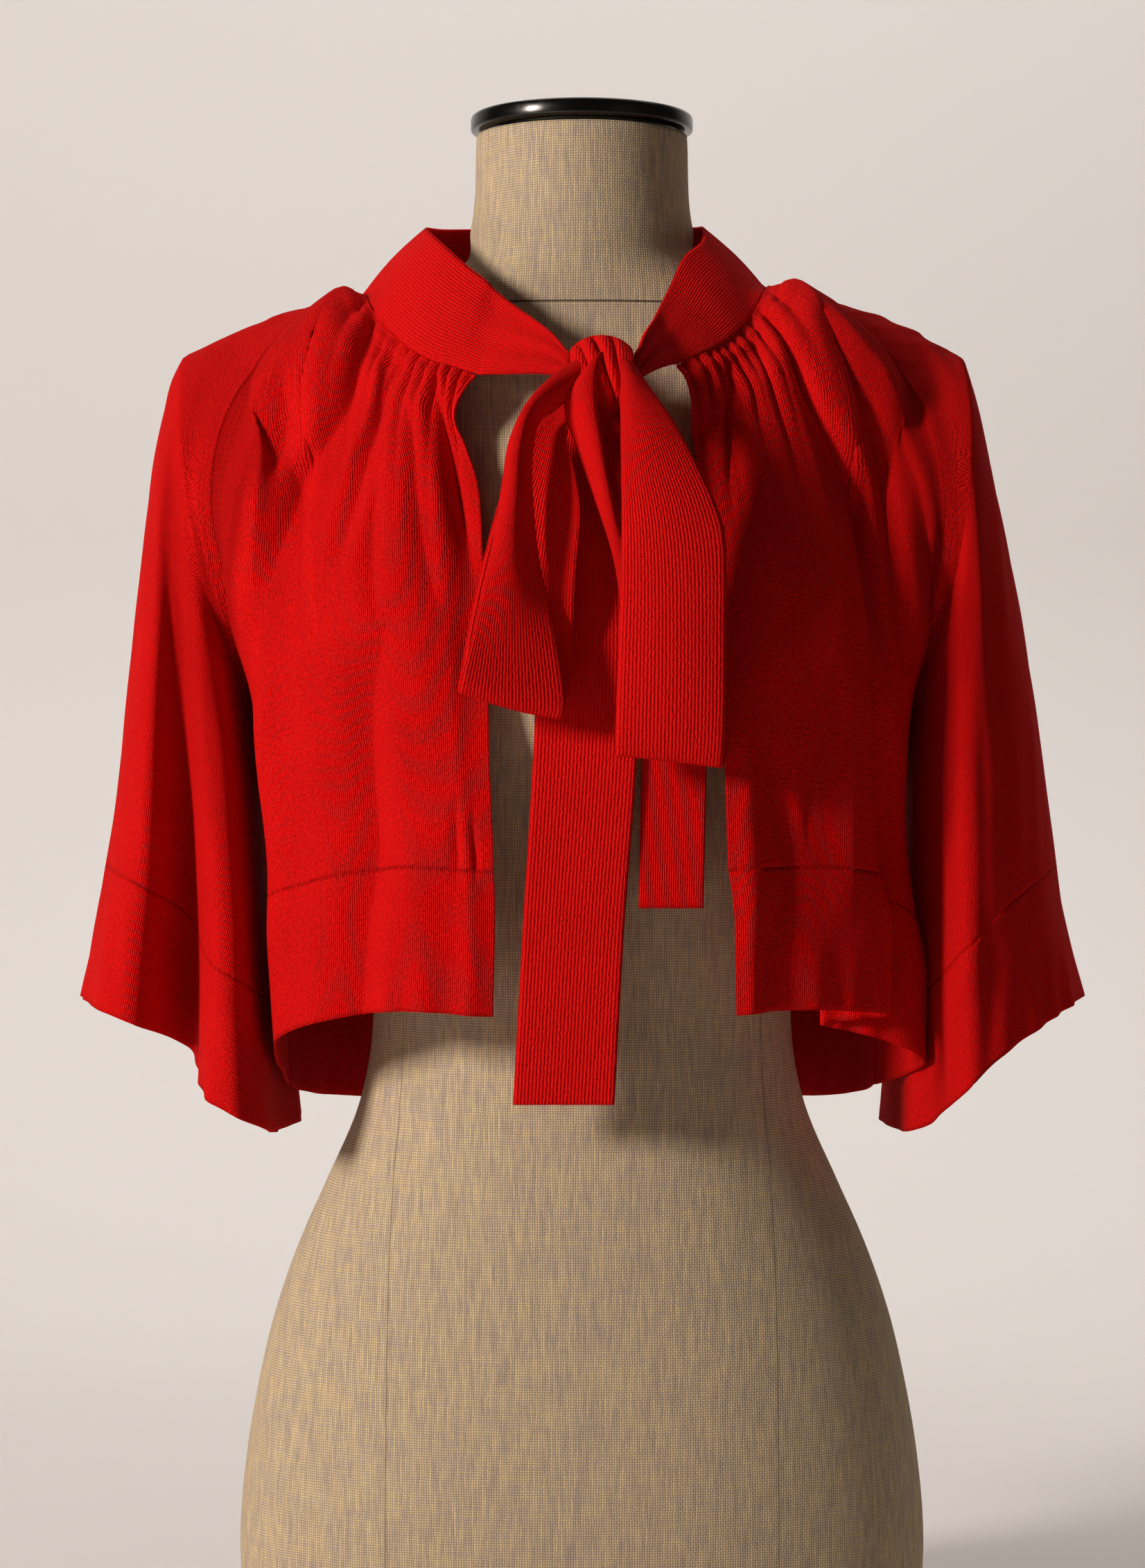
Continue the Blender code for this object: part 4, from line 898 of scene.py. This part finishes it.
sleeveY = 4  # the tubes' middle, front to back
sleevePiece = {
    "around": 300, "down": 116, "band": 24,
    "cap": 0.30,  # share of the length that eases from the raglan seam into the tube
    "seed": {"right": 0.23, "left": 0.67},
    "right": [
        (0.20, 1.4, 0.40, 0.40, 0.40, 0.020, 0.026, -1.5, -1.0),
        (0.25, 1.2, 0.16, 0.155, 0.15, 0.030, 0.030, 3.0, 2.0),
        (0.30, 1.6, 0.58, 0.575, 0.57, 0.025, 0.025, -2.0, -1.0),
    ],
    "left": [
        (0.22, 1.5, 0.33, 0.33, 0.34, 0.025, 0.025, -1.5, -1.0),
        (0.28, 1.5, 0.22, 0.22, 0.22, 0.030, 0.030, 2.5, 1.5),
        (0.30, 1.6, 0.56, 0.57, 0.58, 0.025, 0.025, -2.0, -1.5),
    ],
}


def raglanLoop(side, around):
    front = curve(raglanFront[side], np.clip(1 - around / loopFront, 0, 1))
    back = curve(raglanBack[side], np.clip((around - loopBack) / (1 - loopBack), 0, 1))
    start = np.array(raglanFront[side][0][1:], float)
    end = np.array(raglanBack[side][0][1:], float)
    share = np.clip((around - loopFront) / (loopBack - loopFront), 0, 1)[:, None]
    neck = start + (end - start) * share + np.array([2.5, 0, 0.8]) * np.sin(math.pi * share)
    loop = np.where((around < loopFront)[:, None], front, neck)
    return np.where((around > loopBack)[:, None], back, loop)


def tubePoints(side, around, fall):
    # tube of the sleeve, whose ring goes over from a plain one to the folded ring of the cuff
    turn = 2 * math.pi * around
    tube = curve(sleeveTube, fall)
    outer = curve(sleeveOuter, fall)
    column = 0 if side == "right" else 1
    innerX, outerX = tube[..., column], outer[..., column]
    innerZ = innerTop + (innerEnd - innerTop) * fall
    folds = curve(cuffRing[side], around)
    folded = np.clip(fall, 0, 1) ** 0.75
    wide = -np.cos(turn) * (1 - folded) + folds[..., 0] * folded
    deep = np.sign(np.sin(turn)) * np.abs(np.sin(turn)) ** 0.92 * (1 - folded) + folds[..., 1] * folded
    x = (innerX + outerX) / 2 + (outerX - innerX) / 2 * wide + tube[..., 4] * np.sin(turn) ** 2
    y = sleeveY - np.where(np.sin(turn) > 0, tube[..., 2], tube[..., 3]) * deep
    z = innerZ + (outer[..., 2] - innerZ) * (1 - np.cos(turn)) / 2
    return np.stack(np.broadcast_arrays(x, y, z), axis=-1)


def sleevePoints(side, around, drop):
    wide = around[:, None]
    drop = drop[None, :]
    length = (sleeveOuter[-1][3] - sleeveOuter[0][3]) * (1 - np.cos(2 * math.pi * wide)) / 2
    length = length + (innerEnd - innerTop) * (1 + np.cos(2 * math.pi * wide)) / 2
    seam = 1 - cuffDepth / np.abs(length)
    cap = sleevePiece["cap"]
    fall = np.where(drop <= 1, seam * np.clip((drop - cap) / (1 - cap), 0, 1), seam + (1 - seam) * (drop - 1))
    tube = tubePoints(side, wide, fall)
    top = raglanLoop(side, around)[:, None, :]
    share = np.clip(drop / cap, 0, 1)[..., None]
    points = top + (tube - top) * share
    # a little fullness over the shoulder
    points[..., 2] += 5.5 * np.exp(-(((wide - 0.5) / 0.10) ** 2)) * np.sin(math.pi * share[..., 0])
    points = keepClear(points, clothClear)
    normals = seamNormals(points, drop[0])
    middle = points.mean(axis=0, keepdims=True)
    normals = normals * np.sign((normals * (points - middle)).sum())
    height = foldHeight(sleevePiece[side], wide, drop) + ripples(points, drop, sleevePiece["seed"][side])
    return keepClear(points + normals * (height * bothEnds(wide))[..., None], clothClear)


def sleeveAcross(points, drop):
    # distance from the sleeve's outer line, round the tube and in the plane of the shoulder above it
    middle = len(points) // 2
    arc = lengthsAlong(points)
    arc = arc[middle] - arc
    line = points[middle][:, [0, 2]]
    aside = np.full(points.shape[:2], 1e9)
    for a, b in zip(line, line[1:]):
        run = b - a
        t = np.clip(((points[..., [0, 2]] - a) @ run) / max(run.dot(run), 1e-6), 0, 1)
        aside = np.minimum(aside, np.linalg.norm(points[..., [0, 2]] - a - t[..., None] * run, axis=-1))
    front = np.where(np.arange(len(points)) <= middle, 1, -1)[:, None]
    plain = front * (np.abs(points[..., 1] - sleeveY) + aside)
    share = smoothStep((drop - 0.16) / 0.34)[None, :]
    return plain * (1 - share) + arc * share


def makeSleeves():
    around = np.linspace(0, 1, sleevePiece["around"] + 1)
    drop = dropRows(sleevePiece)
    for side in ("right", "left"):
        points = sided(sleevePoints(side, around, drop), side)
        points[-1] = points[0]
        readings = (sleeveAcross(points, drop) * mm, columnLengths(points) * mm)
        nodes = ("sleeve_" + side, "cuff_" + side)
        piece, cuff = panelAndBand(nodes, sleevePiece, points, readings, points, closed=True)


makeSleeves()
print("stage: sleeves")

# neck band and bow
collarPiece = {"along": 240, "across": 20, "belly": 2.2, "wall": 1.6, "clear": 1.3, "pucker": 1.5}
# edges of the band: place along it, x, y and z
collarTop = [
    (0.0, -6.0, -121, 670), (0.03, -16, -108, 683), (0.06, -36, -84, 700), (0.11, -48, -74, 712),
    (0.157, -57, -66, 720), (0.208, -68, -52, 731.5), (0.257, -76, -32, 741), (0.30, -79.5, -5, 747.5),
    (0.36, -72, 30, 752), (0.43, -50, 56, 756), (0.50, -6, 67, 757), (0.57, 36, 60, 757),
    (0.64, 57.5, 30, 753), (0.70, 62, -6, 747), (0.744, 60, -30, 737), (0.792, 51, -49, 727),
    (0.85, 43, -68, 709), (0.90, 38, -82, 698), (0.94, 34, -95, 689), (0.97, 29, -110, 680),
    (1.0, 25.5, -121, 670),
]
collarLow = {
    "right": [(0.0, -6.0, -121, 657), (0.5, -17, -112, 661), (1.0, -49.2, -100.6, 662.4)],
    "left": [(0.0, 45.2, -100.6, 667.4), (0.5, 35, -112, 663), (1.0, 25.5, -121, 657)],
}


def collarLowEdge(place):
    # the band's low edge follows the fronts, the tops of the sleeves and the back
    mirror = np.array([-1, 1, 1])
    top = loopBack - loopFront
    parts = [
        (0.0, 0.06, lambda t: curve(collarLow["right"], t)),
        (0.06, 0.30, lambda t: curve(neckFront["right"], t) * mirror),
        (0.30, 0.36, lambda t: raglanLoop("right", loopFront + top * t) * mirror),
        (0.36, 0.64, lambda t: curve(neckBack, t)),
        (0.64, 0.70, lambda t: raglanLoop("left", loopBack - top * t)),
        (0.70, 0.94, lambda t: curve(neckFront["left"], 1 - t)),
        (0.94, 1.0, lambda t: curve(collarLow["left"], t)),
    ]
    result = np.zeros((len(place), 3))
    for start, end, reading in parts:
        chosen = (place >= start - 1e-9) & (place <= end + 1e-9)
        result[chosen] = reading((place[chosen] - start) / (end - start))
    return result


def makeCollar():
    place = np.linspace(0, 1, collarPiece["along"] + 1)
    low = collarLowEdge(place)
    high = curve(collarTop, place)
    low = low + unit(high - low) * 0.4
    share = np.linspace(0, 1, collarPiece["across"] + 1)
    points = low[:, None] + (high - low)[:, None] * share[None, :, None]
    normals = normalsOf(points)
    normals = normals * np.sign((normals * (points - np.array([-5.0, 0, 700]))).sum())
    belly = collarPiece["belly"] * np.sin(math.pi * share) * np.sin(math.pi * place)[:, None]
    # the band is gathered where it runs into the knot
    fromEnd = np.minimum(place, 1 - place)[:, None]
    gather = -collarPiece["pucker"] * np.cos(2 * math.pi * (2.4 * share + 0.1))
    gather = gather * np.exp(-fromEnd / 0.045) * smoothStep(fromEnd / 0.012)
    points = keepClear(points + normals * (belly + gather)[..., None], collarPiece["clear"])
    u = lengthsAlong(points[:, 0])[:, None] * mm
    v = share * bandWidth * mm
    piece = gridPiece("collar_cloth", points, u, v, ribAcross, thickness=collarPiece["wall"])
    dress(piece, "collar")


# strips of the bow: place, then the outer edge, the middle and the inner edge
loopRight = [
    (0.0, 2, -128, 672, 2, -136, 664, 2, -128, 655), (0.05, -6, -134, 664, -7, -141, 657, -6, -134, 648),
    (0.10, -17, -142, 654.5, -17, -147, 649, -14, -137, 641),
    (0.16, -27, -147, 642.5, -25, -151, 639, -21, -136, 636),
    (0.22, -34, -149, 627, -29, -154, 624, -24, -137, 622),
    (0.30, -38, -150, 604, -31, -156, 600, -24, -137, 598),
    (0.38, -43, -152, 574, -33, -154, 568, -20, -138, 564),
    (0.43, -50, -154, 541, -34, -150, 537, -13, -140, 537),
    (0.47, -57, -156, 514, -34, -148, 505, -8, -141, 503),
    (0.50, -58.8, -149, 507, -34, -142, 499, -9.6, -138, 494),
    (0.53, -58.5, -141, 512, -34, -136, 505, -8, -134, 502),
    (0.58, -55, -136, 535, -30, -133, 531, -5, -132, 527),
    (0.66, -47, -134, 572, -24, -133, 566, -3.7, -137, 560),
    (0.74, -38, -133, 604, -18, -131, 600, -1.5, -138, 594),
    (0.80, -30, -132, 622, -14, -130, 616, -4, -137, 610),
    (0.88, -18, -129, 645, -10, -128, 638, -8, -134, 630),
    (0.94, -8, -126, 660, -5, -126, 652, -6, -130, 646), (1.0, 2, -124, 668, 2, -124, 662, 2, -124, 656),
]
loopLeft = [
    (0.0, 18, -128, 672, 18, -137, 664, 18, -128, 655), (0.05, 24, -134, 664, 21, -142, 657, 18, -135, 648),
    (0.10, 33, -140, 650, 25, -147, 645, 18.3, -142, 640),
    (0.16, 44, -144, 634, 30, -150, 630, 18.4, -146, 624),
    (0.22, 54, -146, 615, 35, -151, 610, 18.6, -148, 604),
    (0.28, 63, -147, 596, 40, -151.5, 588, 18.6, -149, 582),
    (0.33, 67.5, -147.5, 580, 42, -151.5, 566, 18.3, -149.5, 560),
    (0.40, 68, -147, 530, 42.5, -151, 520, 16.5, -149, 516),
    (0.46, 67.4, -147, 486, 42, -150, 486, 15.6, -149, 488),
    (0.50, 66.5, -141, 471, 42, -142.5, 474, 15.6, -142.5, 477),
    (0.54, 70.5, -135.5, 484, 44, -135.5, 486, 17, -136, 488),
    (0.57, 71, -135, 495, 45, -134, 500, 17.5, -136, 503),
    (0.62, 66, -134, 520, 44, -133.5, 525, 18, -136, 530),
    (0.68, 60, -133, 550, 32, -138, 553, 18, -135, 552),
    (0.73, 34, -131, 573, 19, -143.5, 573, 15, -132, 572),
    (0.79, 15, -128, 598, 12.8, -144.5, 599, 7, -133, 597),
    (0.85, 9, -127, 622, 8.2, -144.5, 624, -1, -134, 620),
    (0.91, 5, -127.5, 644, 5, -143.5, 644, -8, -135, 640),
    (0.955, 6, -128, 655, 4.8, -142, 657.8, -7.5, -136, 650),
    (1.0, 9, -127, 668, 7.6, -138, 668.5, 0.5, -134, 660),
]
tieLong = [
    (0.0, -4, -110.9, 664, 14, -110.9, 664), (0.03, -7, -110.9, 656, 15, -110.9, 656),
    (0.07, -13, -113, 638, 18, -113, 638), (0.13, -18, -117, 612, 22, -117, 612),
    (0.25, -21, -120.5, 560, 27, -120.5, 560), (0.45, -23, -121.5, 493, 27, -121.5, 493),
    (0.75, -29, -118, 390, 20, -118, 390), (1.0, -33.6, -115, 308, 15.5, -115, 308),
]
tieShort = [
    (0.0, 4, -109.2, 662, 16, -109.2, 662), (0.05, 5, -109.2, 652, 20, -109.2, 652),
    (0.22, 20, -111.5, 612, 45, -111.5, 614), (0.55, 29.5, -116.5, 545, 60, -116, 545),
    (0.8, 28.5, -117, 480, 60, -116, 480), (1.0, 27, -115, 403, 58.5, -114, 403),
]
stripPieces = {
    "loop_right": {
        "node": "bow_loop_right", "rows": loopRight, "along": 220, "width": 52,
        "flat": (0.36, 0.052), "area": 0.0140,
    },
    "loop_left": {
        "node": "bow_loop_left", "rows": loopLeft, "along": 220, "width": 52,
        "flat": (0.40, 0.052), "area": 0.0175,
    },
    "tie_long": {
        "node": "tie_end_long", "rows": tieLong, "along": 160, "width": 50,
        "flat": (0.36, 0.052), "area": 0.0165,
    },
    "tie_short": {
        "node": "tie_end_short", "rows": tieShort, "along": 120, "width": 50,
        "flat": (0.26, 0.052), "area": 0.0080,
    },
}
stripAcross = 20


def makeStrip(name, look):
    edges = curve(look["rows"], np.linspace(0, 1, look["along"] + 1))
    share = np.linspace(0, 1, stripAcross + 1)[None, :, None]
    first, last = edges[:, None, :3], edges[:, None, -3:]
    middle = edges[:, None, 3:6] if edges.shape[1] == 9 else (first + last) / 2
    points = first * (1 - share) * (1 - 2 * share) + 4 * middle * share * (1 - share)
    points = points - last * share * (1 - 2 * share)
    u = lengthsAlong(points[:, stripAcross // 2])[:, None] * mm
    v = share[0, :, 0] * look["width"] * mm
    piece = gridPiece(name + "_cloth", points, u, v, ribAcross)
    dress(piece, look["node"])


knotPiece = {
    "around": 144, "along": 56, "wall": 1.6, "middle": 659.0, "tall": 18.8, "deep": 13.6, "y": -125.5,
    "girth": 0.11, "halfWidth": 0.020,
}
# wrap of the bow: turn from the top over the front, middle x, half width
knotTurns = [
    (0, 9, 13.5), (60, 9.3, 14.8), (95, 10, 14.2), (125, 11.5, 11), (155, 12, 7.5), (180, 11.5, 6.5),
    (240, 10, 10), (300, 9.5, 12), (360, 9, 13.5),
]
# its tucks: place across, lean, depth, width, first and last turn
knotTucks = [
    (-0.12, 0.45, 6.0, 0.10, -30, 135), (-0.62, 0.45, 2.2, 0.09, -10, 120), (0.42, 0.20, 2.2, 0.10, -10, 150),
]


def makeKnot():
    turns = np.linspace(0, 360, knotPiece["around"] + 1)
    across = np.linspace(-1, 1, knotPiece["along"] + 1)[None, :]
    size = curve(knotTurns, turns)
    x = size[:, :1] + size[:, 1:] * across
    full = 1 - 0.30 * np.abs(across) ** 2.4
    turn = turns[:, None]
    tuck = np.zeros((len(turns), across.shape[1]))
    for spot, lean, depth, width, start, end in knotTucks:
        shift = (across - spot - lean * (turn / 90 - 0.5)) / width
        held = smoothStep((turn - start) / 25) * (1 - smoothStep((turn - end) / 40))
        tuck = tuck + depth * np.exp(-(np.abs(shift) ** 1.6)) * held
    radians = np.radians(turn)
    y = knotPiece["y"] - (knotPiece["deep"] * full - tuck) * np.sin(radians)
    z = knotPiece["middle"] + (knotPiece["tall"] * full - tuck) * np.cos(radians)
    points = np.stack(np.broadcast_arrays(x, y, z), axis=-1)
    u = turn / 360 * knotPiece["girth"]
    v = (across[0] + 1) * knotPiece["halfWidth"]
    piece = gridPiece("bow_knot_cloth", points, u, v, ribAcross, closed=True, thickness=knotPiece["wall"])
    dress(piece, "bow_knot")


makeCollar()
makeKnot()
for name, look in stripPieces.items():
    makeStrip(name, look)
print("stage: neck band and bow")

# floor, light and camera
studio = {
    "floor": (0.74, 0.70, 0.67), "sky": (1, 0.98, 0.96), "world": 0.054,
    "wide": 7.0, "front": -3.0, "bendFrom": 0.9, "bend": 0.7, "high": 3.4,
}
# each light: place, target, size, power, colour and spread in degrees
studioLights = {
    "key": ((-2.05, -1.6, 1.28), (0, 0, 0.45), (0.4, 0.6), 69, (1, 0.97, 0.94), 180),
    "fill": ((1.8, -1.9, 0.9), (0, 0, 0.5), (1.6, 1.6), 0.4, (0.95, 0.97, 1), 180),
    "backlight": ((0.6, 0.7, 2.6), (0.5, 1.6, 0.1), (3.0, 0.8), 17.6, (1, 0.98, 0.96), 108),
}
shot = {"place": (-0.0048, -1.92, 0.463), "lens": 85.8, "frameHeight": 36}


def makeStage():
    # floor that curves up into a backdrop, just below the form's bottom
    bm = bmesh.new()
    start, bend = studio["bendFrom"], studio["bend"]
    rows = [(studio["front"], 0)]
    for i in range(25):
        turn = math.pi / 2 * i / 24
        rows.append((start + bend * math.sin(turn), bend - bend * math.cos(turn)))
    rows.append((start + bend, studio["high"]))
    verts = [bm.verts.new((-studio["wide"] / 2, y, z - 0.0002)) for y, z in rows]
    edges = [bm.edges.new(pair) for pair in zip(verts, verts[1:])]
    made = bmesh.ops.extrude_edge_only(bm, edges=edges)
    moved = [v for v in made["geom"] if isinstance(v, bmesh.types.BMVert)]
    bmesh.ops.translate(bm, verts=moved, vec=(studio["wide"], 0, 0))
    bmesh.ops.recalc_face_normals(bm, faces=bm.faces)
    for face in bm.faces:
        face.smooth = True
    paper, *_, shader = newMaterial("paper")
    setInputs(shader, {"Base Color": (*studio["floor"], 1), "Roughness": 0.9})
    makeObject("backdrop", bm, paper)


def makeLight(name, place, target, size, power, colour, spread):
    data = bpy.data.lights.new(name, "AREA")
    data.shape = "RECTANGLE"
    data.size, data.size_y = size
    data.energy = power
    data.color = colour
    data.spread = math.radians(spread)
    lamp = bpy.data.objects.new(name, data)
    bpy.context.collection.objects.link(lamp)
    lamp.location = place
    aim = np.array(target) - np.array(place)
    flat = math.hypot(aim[0], aim[1])
    lamp.rotation_euler = (math.atan2(flat, -aim[2]), 0, math.atan2(aim[1], aim[0]) - math.pi / 2)


makeStage()
for name, values in studioLights.items():
    makeLight(name, *values)

scene = bpy.context.scene
world = bpy.data.worlds.new("studio")
world.use_nodes = True
sky = world.node_tree.nodes["Background"]
setInputs(sky, {0: (*studio["sky"], 1), 1: studio["world"]})
scene.world = world
scene.view_settings.view_transform = "Standard"

lens = bpy.data.cameras.new("camera")
lens.sensor_fit = "VERTICAL"
lens.sensor_height = shot["frameHeight"]
lens.lens = shot["lens"]
lens.clip_start = 0.05
camera = bpy.data.objects.new("camera", lens)
bpy.context.collection.objects.link(camera)
camera.location = shot["place"]
camera.rotation_euler = (math.pi / 2, 0, 0)
scene.camera = camera
print("stage: floor, light and camera")
